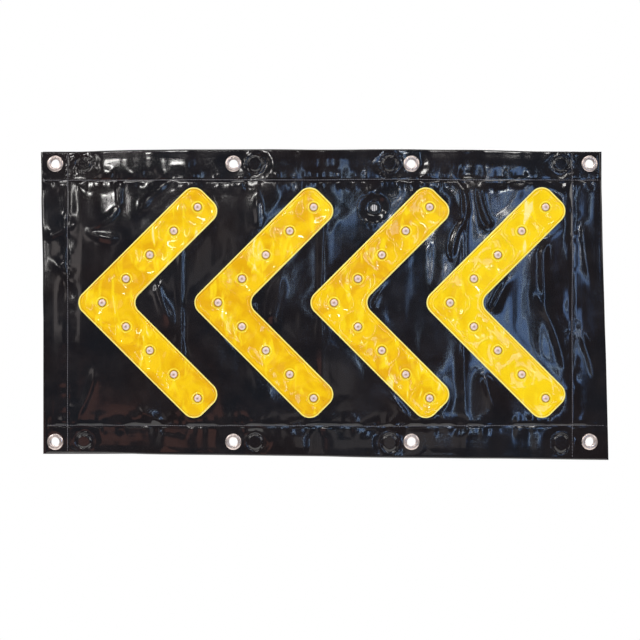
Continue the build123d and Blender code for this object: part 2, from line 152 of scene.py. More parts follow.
def soft_noise(x, z, size_x, size_z, seed):
    """Smooth noise from -1 to 1 whose bumps measure about size_x by size_z."""
    u = x / size_x + seed * 17.3
    v = z / size_z + seed * 9.1
    column, row = np.floor(u), np.floor(v)
    a, b = u - column, v - row
    a = a * a * a * (a * (6 * a - 15) + 10)
    b = b * b * b * (b * (6 * b - 15) + 10)

    def corner(i, j):
        value = np.sin((column + i) * 127.1 + (row + j) * 311.7 + seed * 74.7) * 43758.5453
        return 2 * (value - np.floor(value)) - 1

    low = corner(0, 0) * (1 - a) + corner(1, 0) * a
    high = corner(0, 1) * (1 - a) + corner(1, 1) * a
    return low * (1 - b) + high * b


def nearest(x, z, points):
    """Distance from each place to the nearest of some points."""
    best = np.full(x.shape, 1e6)
    for px, pz in points:
        best = np.minimum(best, np.hypot(x - px, z - pz))
    return best


def outside_chevrons(x, z):
    """About how far a place lies outside the nearest chevron; negative inside."""
    best = np.full(x.shape, 1e6)
    arm_end = (2 * arm_height - band_across / 2) / ROOT_TWO
    for apex in apexes:
        across = np.abs((x - apex) - np.abs(z)) / ROOT_TWO - band_half
        along = ((x - apex) + np.abs(z)) / ROOT_TWO - arm_end
        best = np.minimum(best, np.maximum(across, along))
    return best


def crease(x, z, start, end, width, bend=0.0):
    """A ridge from 0 to 1 along a line, which bows sideways by bend and fades at both ends."""
    dx, dz = end[0] - start[0], end[1] - start[1]
    length = math.hypot(dx, dz)
    along = ((x - start[0]) * dx + (z - start[1]) * dz) / length ** 2
    side = ((x - start[0]) * dz - (z - start[1]) * dx) / length
    side = side - bend * 4 * along * (1 - along)
    ridge = 1 / (1 + (side / width) ** 2)
    return ridge * smooth(-0.05, 0.25, along) * (1 - smooth(0.7, 1.05, along))


# Creases in the black sheet: start, end, half width, height and sideways bow.
SHEET_CREASES = [
    ((-286, 174), (-287, 135), 2.6, 1.2, 2),
    ((-287, 138), (-338, 104), 3.0, 1.6, -6),
    ((-338, 104), (-286, 92), 5.0, 1.4, 5),
    ((-218, 172), (-262, 128), 5.0, 2.0, 4),
    ((-395, 92), (-352, 112), 6.0, 1.4, 0),
    ((-352, 20), (-388, 62), 6.0, 1.2, 4),
    ((-240, 60), (-206, -40), 7.0, 1.6, 8),
    ((-262, -150), (-215, -172), 5.0, 1.3, 3),
    ((-92, 160), (-70, 60), 6.0, 1.5, 8),
    ((-60, 40), (-92, -60), 7.0, 1.4, -8),
    ((66, 172), (82, 80), 5.0, 1.6, 5),
    ((100, 50), (62, -50), 6.0, 1.4, 6),
    ((196, 172), (204, 118), 3.0, 1.6, -4),
    ((204, 122), (184, 60), 3.4, 1.8, 5),
    ((222, 168), (252, 92), 3.4, 1.7, 7),
    ((262, 60), (226, -30), 6.0, 1.8, -9),
    ((318, 120), (322, -20), 6.0, 1.8, 6),
    ((300, 20), (348, -110), 7.0, 1.7, -8),
    ((230, -96), (262, -170), 6.0, 1.6, 6),
    ((96, -110), (130, -170), 5.0, 1.3, 5),
    ((-322, -90), (-352, -168), 6.0, 1.2, -4),
    ((370, 120), (384, 20), 5.0, 1.2, 3),
    ((366, -40), (388, -120), 5.0, 1.3, -3),
]

# Dents in the chevrons, in the same form.
CHEVRON_CREASES = [
    ((-262, 60), (-240, 118), 4.0, 0.5, 3),
    ((-232, -30), (-236, -120), 3.0, 0.5, 2),
    ((-196, 150), (-176, 96), 4.0, 0.5, -3),
    ((-64, 100), (-30, 146), 4.0, 0.5, 3),
    ((-130, 20), (-100, 60), 4.0, 0.4, -3),
    ((60, -20), (52, -84), 3.0, 0.6, 3),
    ((96, 66), (132, 120), 4.0, 0.5, -4),
    ((120, -90), (160, -140), 4.0, 0.5, 3),
    ((196, 60), (206, 6), 2.6, 0.7, 2),
    ((232, 96), (262, 60), 3.0, 0.6, 3),
    ((226, -30), (262, -84), 3.0, 0.6, -3),
    ((286, 140), (314, 92), 3.0, 0.6, 4),
]


def pinned(x, z):
    """0 where lights, eyelets, magnets and the sensor hold the layers together, and 1 well away."""
    hold = smooth(8, 30, nearest(x, z, lights))
    hold = hold * smooth(12, 30, nearest(x, z, eyelets))
    hold = hold * smooth(13, 26, nearest(x, z, magnets))
    return hold * smooth(9, 24, nearest(x, z, sensor))


def shared_relief(x, z):
    """How far the front bulges out where nothing holds it, chevrons and sheet together."""
    bulge = 1.7 * soft_noise(x, z, 92, 120, 3) + 0.9 * soft_noise(x, z, 44, 88, 5) + 1.5
    fold_line = 0.0
    for fx in fold_x:
        fold_line = fold_line + 0.9 * crease(x, z, (fx, 176), (fx, -176), 4.5, 3)
    return np.maximum(bulge + fold_line, 0) * pinned(x, z)


def seam_pucker(x, z):
    """Small gathers on each side of the hem stitching."""
    top = np.abs(np.abs(z) - stitch_line_z(x, z))
    side = np.abs(np.abs(x) - stitch_line_x(x, z))
    along_top = 0.5 * soft_noise(x, z, 7, 30, 11) + 0.9 * soft_noise(x, z, 21, 40, 12)
    along_side = 0.5 * soft_noise(x, z, 30, 7, 13) + 0.7 * soft_noise(x, z, 40, 24, 14)
    near_top = (1 - smooth(2, 22, top)) * smooth(0.4, 5, top)
    near_side = (1 - smooth(2, 16, side)) * smooth(0.4, 5, side)
    return 1.0 * along_top * near_top + 0.6 * along_side * near_side


def stitch_line_z(x, z):
    """Height of the long stitch lines: they wander a little."""
    return half_z - STITCH_INSET + 0.7 * soft_noise(x, z * 0, 130, 50, 21)


def stitch_line_x(x, z):
    """Distance of the short stitch lines from the middle: the left one stands further out."""
    lean = np.where(x < 0, LEFT_SEAM_OUT, -RIGHT_SEAM_IN)
    return half_x - STITCH_INSET + lean + 0.7 * soft_noise(x * 0, z, 50, 120, 22)


def stitch_groove(x, z):
    """The sheet is drawn in along the stitches."""
    top = np.abs(np.abs(z) - stitch_line_z(x, z))
    side = np.abs(np.abs(x) - stitch_line_x(x, z))
    return -0.45 / (1 + (top / 1.3) ** 2) - 0.4 / (1 + (side / 1.3) ** 2)


def magnet_bumps(x, z):
    """A flat round bump over each magnet, inside a drawn-in ring."""
    away = nearest(x, z, magnets)
    bump = 1.4 * (1 - smooth(9.3, 10.5, away))
    ring = -0.5 * np.exp(-((away - 11.5) / 0.9) ** 2)
    lip = 0.5 * np.exp(-((away - 13.6) / 1.1) ** 2)
    folds_round = 0.4 * soft_noise(x, z, 12, 9, 31) * smooth(15, 18, away) * (1 - smooth(18, 28, away))
    return bump + ring + lip + folds_round


def sheet_relief(x, z):
    """How far the black front sheet stands out from its flat place."""
    bare = smooth(0, 14, outside_chevrons(x, z))
    hold = pinned(x, z)
    drape = 0.8 * soft_noise(x, z, 27, 170, 41) + 0.16 * soft_noise(x, z, 11, 70, 42)
    in_hem = smooth(-6, 10, np.abs(z) - (half_z - STITCH_INSET))
    drape = drape * (0.7 + 0.6 * in_hem)
    lines = sum(
        height * crease(x, z, start, end, width, bow)
        for start, end, width, height, bow in SHEET_CREASES
    )
    inside = np.minimum(half_x - np.abs(x), half_z - np.abs(z))
    pillow = 0.4 * smooth(0, 14, inside) * (1 - smooth(28, 42, inside))
    fine = (drape + lines) * bare * hold + (seam_pucker(x, z) + pillow) * hold
    edge_hold = 0.25 + 0.75 * smooth(0, 26, inside)
    total = shared_relief(x, z) * edge_hold * (0.35 + 0.65 * smooth(30, 60, inside)) + fine
    return np.maximum(total, -0.2) + stitch_groove(x, z) + magnet_bumps(x, z)


def edge_wander(x, z):
    """How the edge of the cut sheet strays from a true rectangle, as a shift in x and z."""
    up = z / half_z
    along = x / half_x
    left = 2.4 - 3.8 * up + 0.8 * soft_noise(x * 0, z, 60, 70, 51)
    right = 1.8 - 5.4 * up + 0.8 * soft_noise(x * 0, z, 60, 80, 52)
    top = -2.6 + 3.8 * smooth(-1, -0.6, along) * (1 - smooth(0.5, 0.95, along))
    top = top + 0.7 * soft_noise(x, z * 0, 90, 60, 53)
    bottom = -1.6 - 5.2 * along + 0.8 * soft_noise(x, z * 0, 100, 60, 54)
    near_x = 1 - smooth(0, 26, half_x - np.abs(x))
    near_z = 1 - smooth(0, 26, half_z - np.abs(z))
    return near_x * np.where(x < 0, left, right), near_z * np.where(z < 0, bottom, top)


# ---- mesh helpers ----
FLAT_SCALE = 10             # the flat_place map holds ten to the metre ...
FLAT_SHIFT = 5              # ... counted from here, so that no value is negative


def put_in_scene(name, data):
    """A new object for a mesh, light or camera."""
    thing = bpy.data.objects.new(name, data)
    bpy.context.scene.collection.objects.link(thing)
    return thing


def normals_of(points, faces):
    """Smooth normals of a mesh of triangles and quads."""
    total = np.zeros_like(points)
    for size in (3, 4):
        group = np.array([f for f in faces if len(f) == size])
        if not len(group):
            continue
        first = points[group[:, 2]] - points[group[:, 0]]
        second = points[group[:, size - 1]] - points[group[:, 1]]
        normal = np.cross(first, second)
        for i in range(size):
            np.add.at(total, group[:, i], normal)
    return total / np.maximum(np.linalg.norm(total, axis=1, keepdims=True), 1e-12)


def surface(points, faces, edge_distance=None):
    """A bmesh of an open surface that carries its smooth normals and each point's distance from an edge."""
    points = np.asarray(points, float)
    normals = normals_of(points, faces)
    sheet = bmesh.new()
    normal_layer = sheet.verts.layers.float_vector.new("normal")
    distance_layer = sheet.verts.layers.float.new("edge_distance")
    corners = []
    for i, (point, normal) in enumerate(zip(points, normals)):
        vertex = sheet.verts.new(point)
        vertex[normal_layer] = normal
        vertex[distance_layer] = 0.0 if edge_distance is None else edge_distance[i]
        corners.append(vertex)
    for face in faces:
        sheet.faces.new([corners[i] for i in face])
    return sheet


def stretch_of(sheet, span):
    """The part of a surface between two X values."""
    part = sheet.copy()
    for x, outward in ((span[0], -1), (span[1], 1)):
        geometry = part.verts[:] + part.edges[:] + part.faces[:]
        bmesh.ops.bisect_plane(
            part, geom=geometry, dist=1e-4, plane_co=(x, 0, 0), plane_no=(outward, 0, 0), clear_outer=True
        )
    return part


def solid_piece(name, part, thickness=None, floor=None):
    """A closed mesh object from an open surface: it gets a back at a thickness, or down to a floor in Y."""
    part.verts.ensure_lookup_table()
    normal_layer = part.verts.layers.float_vector["normal"]
    distance_layer = part.verts.layers.float["edge_distance"]
    count = len(part.verts)
    part.verts.index_update()
    outer = np.array([v.co for v in part.verts])
    normals = np.array([v[normal_layer] for v in part.verts])
    edge_distance = np.array([v[distance_layer] for v in part.verts])
    if floor is None:
        inner = outer - normals * thickness
        inner_normals = -normals
    else:
        inner = outer.copy()
        inner[:, 1] = floor(outer[:, 0], outer[:, 2])
        inner_normals = np.tile((0.0, 1.0, 0.0), (count, 1))
    faces = [[v.index for v in f.verts] for f in part.faces]
    back = [[i + count for i in reversed(f)] for f in faces]
    rim = []
    for edge in part.edges:
        if not edge.is_boundary:
            continue
        loop = edge.link_loops[0]
        a, b = loop.vert.index, loop.link_loop_next.vert.index
        rim.append([b, a, a + count, b + count])
    points = np.vstack((outer, inner))
    mesh = bpy.data.meshes.new(name)
    mesh.from_pydata((points * MM).tolist(), [], faces + back + rim)
    every_normal = np.vstack((normals, inner_normals))
    loop_vertex = np.zeros(len(mesh.loops), int)
    mesh.loops.foreach_get("vertex_index", loop_vertex)
    loop_normals = every_normal[loop_vertex]
    rim_start = sum(len(f) for f in faces) * 2
    for i, face in enumerate(rim):
        a, b, c = points[face[0]], points[face[1]], points[face[2]]
        across = np.cross(b - a, c - b)
        size = np.linalg.norm(across)
        first_corner = rim_start + 4 * i
        square_on = across / size if size > 0 else normals[face[0]]
        loop_normals[first_corner:first_corner + 4] = square_on
    flat = mesh.uv_layers.new(name="flat_place")
    places = points[loop_vertex][:, [0, 2]] * MM * FLAT_SCALE + FLAT_SHIFT
    flat.data.foreach_set("uv", places.ravel())
    edge = mesh.attributes.new("edge_distance", "FLOAT", "POINT")
    edge.data.foreach_set("value", np.tile(edge_distance, 2).astype(np.float32))
    mesh.shade_smooth()
    mesh.normals_split_custom_set(loop_normals.tolist())
    part.free()
    return put_in_scene(name, mesh)


def simple_piece(name, points, faces, uv=None):
    """A smooth mesh object from points in millimetres."""
    mesh = bpy.data.meshes.new(name)
    mesh.from_pydata((np.asarray(points) * MM).tolist(), [], faces)
    if uv is not None:
        loop_vertex = np.zeros(len(mesh.loops), int)
        mesh.loops.foreach_get("vertex_index", loop_vertex)
        layer = mesh.uv_layers.new(name="flat_place")
        layer.data.foreach_set("uv", np.asarray(uv)[loop_vertex].ravel())
    mesh.shade_smooth()
    return put_in_scene(name, mesh)


def grid(across, up, seen_from_front):
    """A flat grid: each point's x and z, the points' numbers by row and column, and faces turned one way."""
    x, z = [a.ravel() for a in np.meshgrid(across, up)]
    columns, rows = len(across), len(up)
    index = np.arange(columns * rows).reshape(rows, columns)
    faces = []
    for r in range(rows - 1):
        for c in range(columns - 1):
            second, fourth = index[r, c + 1], index[r + 1, c]
            if not seen_from_front:
                second, fourth = fourth, second
            faces.append((index[r, c], second, index[r + 1, c + 1], fourth))
    return x, z, index, faces


def ring_faces(rings, sides):
    """Faces of a closed tube: its points go round in rings, and both ends are capped."""
    faces = []
    for s in range(rings - 1):
        for k in range(sides):
            m = (k + 1) % sides
            faces.append((s * sides + k, s * sides + m, (s + 1) * sides + m, (s + 1) * sides + k))
    faces.append(tuple(reversed(range(sides))))
    last = (rings - 1) * sides
    faces.append(tuple(last + k for k in range(sides)))
    return faces


def graded_lines(end, features, coarse):
    """Grid lines from -end to end, closer together around the features (place, reach, spacing)."""
    lines = [-end]
    while lines[-1] < end:
        here = lines[-1]
        gap = coarse
        for place, reach, spacing in features:
            if abs(here + spacing / 2 - place) < reach:
                gap = min(gap, spacing)
        lines.append(here + gap)
    lines = np.array(lines)
    return (lines + end) * (2 * end / (lines[-1] + end)) - end


def clear_round(points, faces, centres, radius):
    """The faces with no corner inside a hole of this radius round any centre."""
    away = nearest(points[:, 0], points[:, 2], centres)
    inside = away < radius
    return [f for f in faces if not any(inside[i] for i in f)]


def drop_loose(points, faces):
    """The mesh with only the points that its faces use."""
    used = sorted({i for f in faces for i in f})
    new_index = {old: new for new, old in enumerate(used)}
    return points[used], [[new_index[i] for i in f] for f in faces]


# ---- front sheet ----
SHEET_GRID = (2.5, 2.9)     # coarse spacing across and up
MAGNET_GRID = (15.5, 1.15)  # reach and spacing of the finer lines over a magnet,
EYELET_GRID = (13, 1.8)     # at an eyelet
SEAM_GRID = (4, 0.8)        # and along the stitching
EYELET_CLEARING = 7.2       # the sheet is open this far round the middle of an eyelet
LIGHT_CLEARING = 3.4        # and of a light or the sensor
EDGE_TURNS = (25, 50, 75, 100, 125, 150, 180)
FLAP_ROWS = (1.5, 4, 6.5, 9, 11.5, 14, 16.5, 19, 21.5, 24, 26.5, 29, 33, 37, 38.6, 39.6, 40.1, 40.6, 41.6)


def front_grid_lines(flat_x, flat_z):
    """The grid lines of the front face: finer over the magnets, at the eyelets and along the stitching."""
    seam_x, seam_z = half_x - STITCH_INSET, half_z - STITCH_INSET
    features_x = [(x, *MAGNET_GRID) for x in sorted(set(magnets[:, 0].round()))]
    features_x += [(x, *EYELET_GRID) for x in sorted(set(eyelets[:, 0].round()))]
    features_x += [(x, *SEAM_GRID) for x in (-(seam_x + LEFT_SEAM_OUT), seam_x - RIGHT_SEAM_IN)]
    features_z = [(z, *MAGNET_GRID) for z in (-eyelets[0, 1], eyelets[0, 1])]
    features_z += [(z, *SEAM_GRID) for z in (-seam_z, seam_z)]
    return graded_lines(flat_x, features_x, SHEET_GRID[0]), graded_lines(flat_z, features_z, SHEET_GRID[1])


def edge_and_flap(x, z, lift, flat_x, flat_z):
    """Rings of points that carry the front face's border round the edge and in over the back as the hem."""
    out_x = np.where(np.abs(x) > flat_x - 0.01, np.sign(x), 0)
    out_z = np.where(np.abs(z) > flat_z - 0.01, np.sign(z), 0)
    rings = []
    for angle in np.radians(EDGE_TURNS):
        fade = (1 + math.cos(angle)) / 2
        rings.append(np.column_stack((
            x + out_x * edge_radius * math.sin(angle),
            front_face / 2 * (1 + math.cos(angle)) - lift * fade,
            z + out_z * edge_radius * math.sin(angle),
        )))
    for inward in FLAP_ROWS + (HEM_WIDTH - edge_radius,):
        flap_x = x * (flat_x - inward) / flat_x
        flap_z = z * (flat_z - inward) / flat_z
        rings.append(np.column_stack((flap_x, hem_flap_y(flap_x, flap_z, inward), flap_z)))
    return rings


def front_sheet_surface():
    """The front face, the rounded fold at the edge and the hem flap behind, as one surface."""
    flat_x, flat_z = half_x - edge_radius, half_z - edge_radius
    x, z, index, faces = grid(*front_grid_lines(flat_x, flat_z), True)
    lift = sheet_relief(x, z)
    border = np.concatenate((index[0, :-1], index[:-1, -1], index[-1, :0:-1], index[:0:-1, 0]))
    rings = edge_and_flap(x[border], z[border], lift[border], flat_x, flat_z)
    size = len(border)
    numbers = [border] + [index.size + n * size + np.arange(size) for n in range(len(rings))]
    for inner, outer in zip(numbers, numbers[1:]):
        for i in range(size):
            j = (i + 1) % size
            faces.append((inner[j], inner[i], outer[i], outer[j]))
    points = np.vstack([np.column_stack((x, front_face - lift, z))] + rings)
    shift_x, shift_z = edge_wander(points[:, 0], points[:, 2])
    points[:, 0] += shift_x
    points[:, 2] += shift_z
    faces = clear_round(points, faces, eyelets, EYELET_CLEARING)
    faces = clear_round(points, faces, lights, LIGHT_CLEARING)
    faces = clear_round(points, faces, sensor, LIGHT_CLEARING)
    return drop_loose(points, faces)


def hem_flap_y(x, z, inward):
    """Y of the hem flap behind: a soft roll, drawn in along the stitches."""
    roll = 0.7 * smooth(0, 10, inward) * (1 - smooth(28, 38, inward))
    hold = smooth(12, 24, nearest(x, z, eyelets))
    gather = 0.35 * soft_noise(x, z, 22, 22, 61) * smooth(2, 14, inward)
    groove = -0.3 * math.exp(-((inward - (STITCH_INSET - edge_radius)) / 0.9) ** 2)
    return np.maximum((roll + gather) * hold, 0) + groove


# ---- back sheet ----
BACK_GRID = 3.2
UNIT_MARGIN = 12.0          # the back sheet is held flat this far round the battery unit
ARM_WIRE_END = (140, 134)   # the wiring's swelling fades out along each arm between these heights


def back_relief(x, z):
    """How far the back sheet stands out behind: broad waves, and the lights and wiring showing through."""
    inside = np.minimum(half_x - HEM_WIDTH - np.abs(x), half_z - HEM_WIDTH - np.abs(z))
    free = smooth(0, 30, inside)
    off_unit_x = np.maximum(unit_low[0] - UNIT_MARGIN - x, x - unit_high[0] - UNIT_MARGIN)
    off_unit_z = np.maximum(unit_low[2] - UNIT_MARGIN - z, z - unit_high[2] - UNIT_MARGIN)
    free = free * smooth(0, 30, np.maximum(off_unit_x, off_unit_z))
    waves = 1.5 * soft_noise(x, z, 100, 130, 71) + 0.6 * soft_noise(x, z, 34, 120, 72) + 1.2
    boards = 0.35 * (1 - smooth(5, 8.5, nearest(x, z, lights)))
    wires = np.zeros(x.shape)
    for apex in apexes:
        off_wire = np.abs((x - apex) - np.abs(z)) / ROOT_TWO
        reach = smooth(*ARM_WIRE_END, np.abs(z)) * (x > apex - 3)
        wires = np.maximum(wires, 0.3 * (1 - smooth(1.8, 3.6, off_wire)) * reach)
    trunk = 0.3 * (1 - smooth(1.8, 3.6, np.abs(z))) * (x > apexes[0]) * (x < unit_low[0])
    return np.maximum(waves, 0) * free + np.maximum(boards, np.maximum(wires, trunk)) * smooth(0, 6, inside)


def back_sheet_surface():
    """The back sheet's rear face."""
    low, high = box_mm("back_sheet_1")
    across = graded_lines(-low[0], [], BACK_GRID)
    up = graded_lines(high[2], [], BACK_GRID)
    x, z, index, faces = grid(across, up, False)
    points = np.column_stack((x, back_face + back_relief(x, z), z))
    faces = clear_round(points, faces, eyelets, EYELET_CLEARING)
    return drop_loose(points, faces)


# ---- chevrons ----
ARC_STEPS = 14              # round a corner of the outline,
END_STEPS = 10              # along the end of an arm,
ARM_STEPS = 70              # and along an arm


def chevron_corners(apex, inset):
    """The sharp corners of a chevron whose edges are moved inwards."""
    nose = apex - band_across / 2
    reach = nose + arm_height
    step = band_half * 2 / ROOT_TWO
    corners = np.array([
        (nose, 0),
        (reach, -arm_height),
        (reach + step, step - arm_height),
        (nose + band_across, 0),
        (reach + step, arm_height - step),
        (reach, arm_height),
    ])
    moved = []
    for i, corner in enumerate(corners):
        before = corner - corners[i - 1]
        after = corners[(i + 1) % 6] - corner
        before, after = before / np.linalg.norm(before), after / np.linalg.norm(after)
        side_before, side_after = np.array((-before[1], before[0])), np.array((-after[1], after[0]))
        between = side_before + side_after
        moved.append(corner + between * inset / (1 + side_before @ side_after))
    return np.array(moved)


def chevron_loop(apex, inset):
    """The rounded outline of a chevron, moved inwards by inset, always with the same number of points."""
    corners = chevron_corners(apex, inset)
    points = []
    for i, corner in enumerate(corners):
        before = corners[i - 1] - corner
        after = corners[(i + 1) % 6] - corner
        before, after = before / np.linalg.norm(before), after / np.linalg.norm(after)
        radius = NOTCH_RADIUS + inset if i == 3 else CORNER_RADIUS - inset
        start, end = corner + before * radius, corner + after * radius
        centre = corner + (before + after) * radius
        for k in range(ARC_STEPS + 1):
            turn = k / ARC_STEPS * math.pi / 2
            points.append(centre + (start - centre) * math.cos(turn) + (end - centre) * math.sin(turn))
        next_radius = NOTCH_RADIUS + inset if i == 2 else CORNER_RADIUS - inset
        straight_end = corners[(i + 1) % 6] - after * next_radius
        full = np.linalg.norm(straight_end - end)
        steps = END_STEPS if i in (1, 4) else ARM_STEPS
        for k in range(1, steps):
            points.append(end + after * full * k / steps)
    return np.array(points)


# The welded rim: distance in from the edge, and height there. The last inset is where the open face begins.
RIM_INSETS = (0, 0.35, 0.8, 1.4, 2.1, 2.6, 3.2, 3.8, 4.6, 5.6, 7.0, 8.6)
RIM_HEIGHTS = (0.12, 0.62, 0.9, 0.98, 0.95, 0.62, 0.5, 0.72, 1.0, 1.15, 1.28, 1.35)
# The pinched ring round a light: radius, and height there.
LIGHT_RINGS = (5.75, 6.1, 6.6, 7.3, 8.1, 8.9, 10.0, 11.4)
LIGHT_HEIGHTS = (-0.2, 0.32, 0.5, 0.25, -0.4, -0.25, -0.05, 0.0)
RING_SIDES = 40
RING_MARK = 5               # edge distance rises this fast towards a light, so the finish can find the rings
FACE_GRID = 2.1             # spacing of the points on the open face
FACE_ROW = 0.866            # rows of equal triangles are this share of the spacing apart


def chevron_height(x, z, from_edge):
    """How far a chevron stands out from the flat place of the front sheet."""
    away = nearest(x, z, lights)
    weld = np.interp(from_edge, RIM_INSETS, RIM_HEIGHTS)
    pinch = np.interp(away, LIGHT_RINGS, LIGHT_HEIGHTS)
    free = smooth(9, 20, away) * smooth(3.5, 12, from_edge)
    dents = 0.42 * soft_noise(x, z, 15, 27, 81) + 0.3 * soft_noise(x, z, 40, 22, 82)
    dents = dents + sum(
        height * crease(x, z, start, end, width, bow)
        for start, end, width, height, bow in CHEVRON_CREASES
    )
    return shared_relief(x, z) + weld + pinch + np.maximum(dents * free, -0.45)


def face_points(border, own_lights):
    """Places for the points on a chevron's open face: even rows, clear of its rim and its light rings."""
    low, high = border.min(0), border.max(0)
    places = np.array([
        (x + (FACE_GRID / 2 if r % 2 else 0), z)
        for r, z in enumerate(np.arange(low[1], high[1], FACE_GRID * FACE_ROW))
        for x in np.arange(low[0], high[0], FACE_GRID)
    ])
    clear = FACE_GRID * 0.6
    off_lights = nearest(places[:, 0], places[:, 1], own_lights) - LIGHT_RINGS[-1]
    return places[(depth_inside(places, border) > clear) & (off_lights > clear)]


def face_triangles(flat, loops, inner, border, own_lights):
    """Triangles that fill the open face, from the loops round it and in it and the points inside."""
    given = np.concatenate(loops + [inner])
    edges = []
    begin = 0
    for loop in loops:
        size = len(loop)
        edges += [(begin + i, begin + (i + 1) % size) for i in range(size)]
        begin += size
    found = delaunay_2d_cdt([tuple(flat[i]) for i in given], edges, [], 0, 1e-5)
    new_points, triangles, origins = found[0], found[2], found[3]
    source = [given[o[0]] for o in origins]
    middles = np.array([np.mean([new_points[i] for i in t], axis=0) for t in triangles])
    keep = depth_inside(middles, border) > 0
    keep &= nearest(middles[:, 0], middles[:, 1], own_lights) > LIGHT_RINGS[-1] * 0.99
    return [tuple(source[i] for i in t) for t, wanted in zip(triangles, keep) if wanted]


def chevron_surface(number):
    """One chevron: a welded rim, a pinched ring at each light, and a softly dented face."""
    apex = apexes[number]
    points = []
    faces = []
    from_edge = []

    def add_ring(loop, distance):
        start = len(from_edge)
        points.extend(loop)
        from_edge.extend(np.broadcast_to(distance, len(loop)))
        return start + np.arange(len(loop))

    def bridge(outer, inner):
        for i in range(len(outer)):
            j = (i + 1) % len(outer)
            faces.append((outer[i], outer[j], inner[j], inner[i]))

    rings = [add_ring(chevron_loop(apex, inset), inset) for inset in RIM_INSETS]
    for outer, inner in zip(rings, rings[1:]):
        bridge(outer, inner)
    own_lights = [p for p in lights if abs(p[0] - apex - abs(p[1])) < 1]
    turn = np.linspace(0, 2 * math.pi, RING_SIDES, endpoint=False)
    circle = np.column_stack((np.cos(turn), np.sin(turn)))
    loops = [rings[-1]]
    for light in own_lights:
        light_rings = [
            add_ring(light + circle * radius, RIM_INSETS[-1] + RING_MARK * (LIGHT_RINGS[-1] - radius))
            for radius in LIGHT_RINGS
        ]
        for inner, outer in zip(light_rings, light_rings[1:]):
            bridge(outer, inner)
        loops.append(light_rings[-1])
    border = chevron_loop(apex, RIM_INSETS[-1])
    inner = add_ring(face_points(border, own_lights), RIM_INSETS[-1])
    flat = np.array(points)
    faces += face_triangles(flat, loops, inner, border, own_lights)
    x, z = flat[:, 0], flat[:, 1]
    from_edge = np.array(from_edge)
    solid = np.column_stack((x, front_face - chevron_height(x, z, from_edge), z))
    return solid, facing_front(flat, faces), from_edge


def depth_inside(places, loop):
    """Distance from each place to a closed outline: positive inside it, negative outside."""
    ends = np.roll(loop, -1, axis=0)
    best = np.full(len(places), 1e6)
    inside = np.zeros(len(places), bool)
    for a, b in zip(loop, ends):
        span = b - a
        t = np.clip(((places - a) @ span) / (span @ span), 0, 1)
        best = np.minimum(best, np.hypot(*(places - a - t[:, None] * span).T))
        crosses = (a[1] > places[:, 1]) != (b[1] > places[:, 1])
        rise = span[1] if span[1] else 1e-9
        inside ^= crosses & (places[:, 0] < a[0] + (places[:, 1] - a[1]) * span[0] / rise)
    return np.where(inside, best, -best)


def facing_front(flat, faces):
    """Every face wound so that it faces -Y."""
    turned = []
    for face in faces:
        a, b, c = (flat[i] for i in face[:3])
        area = (b[0] - a[0]) * (c[1] - a[1]) - (b[1] - a[1]) * (c[0] - a[0])
        turned.append(tuple(face) if area > 0 else tuple(reversed(face)))
    return turned


# ---- stitching ----
STITCH_PITCH = 3.3
STITCH_LENGTH = 2.5
THREAD_RADIUS = 0.36
THREAD_SIDES = 6
SEAM_END = 5                # the first stitch is this far from the edge
REAR_SEAM_INSET = 40        # stitches nearer the edge than this don't show behind
REAR_SEAM_Y = -0.28
# Along one stitch: place, thickness and height, as shares of its length and radius.
STITCH_STATIONS = (
    (-0.5, 0.25, -0.9), (-0.42, 0.8, -0.35), (-0.2, 1, 0.35),
    (0.2, 1, 0.35), (0.42, 0.8, -0.35), (0.5, 0.25, -0.9),
)


def thread_stitch(centre, along, out):
    """One stitch: a short thread with round ends that dips into the sheet. Returns points and faces."""
    side = np.cross(along, out)
    points = []
    for place, swell, rise in STITCH_STATIONS:
        for k in range(THREAD_SIDES):
            turn = 2 * math.pi * k / THREAD_SIDES
            ring = (side * math.cos(turn) + out * math.sin(turn)) * THREAD_RADIUS * swell
            points.append(centre + along * place * STITCH_LENGTH + out * rise * THREAD_RADIUS + ring)
    return points, ring_faces(len(STITCH_STATIONS), THREAD_SIDES)


def stitch_places():
    """Where each stitch sits on the front and on the back: centre, direction and outward side."""
    places = []

    def put(x, z, along_x):
        shift_x, shift_z = edge_wander(np.array([x]), np.array([z]))
        lift = sheet_relief(np.array([x]), np.array([z]))[0]
        along = np.array((1.0, 0, 0)) if along_x else np.array((0, 0, 1.0))
        spot = np.array((x + shift_x[0], front_face - lift, z + shift_z[0]))
        places.append((spot, along, np.array((0, -1.0, 0))))
        if min(half_x - abs(x), half_z - abs(z)) > REAR_SEAM_INSET:
            places.append((np.array((x, REAR_SEAM_Y, z)), along, np.array((0, 1.0, 0))))

    for side in (-1, 1):
        for x in np.arange(-half_x + SEAM_END, half_x - SEAM_END + 1, STITCH_PITCH):
            at = np.array([x])
            put(x, side * stitch_line_z(at, at * 0)[0], True)
        for z in np.arange(-half_z + SEAM_END, half_z - SEAM_END + 1, STITCH_PITCH):
            at = np.array([z])
            put(side * stitch_line_x(np.array([side * 300.0]), at)[0], z, False)
    return places


def stitching(span):
    """The stitches of one stretch of the banner, as points and faces."""
    points, faces = [], []
    for centre, along, out in all_stitches:
        if not span[0] <= centre[0] < span[1]:
            continue
        own_points, own_faces = thread_stitch(centre, along, out)
        faces += [tuple(i + len(points) for i in f) for f in own_faces]
        points += own_points
    return np.array(points), faces


# ---- lights ----
FLANGE_RADIUS = 5.6
DOME_RADIUS = 4.95
TIP_RADIUS = 0.12
FLANGE_DEPTH = 0.8
COLLAR_STANDS = 0.9         # out from the front sheet
SHOULDER_STANDS = 1.05
DOME_STEPS = 12
DOME_SIDES = 28
LENS_MAP = 12.0             # width of the lens map, so that its radii can be read in millimetres


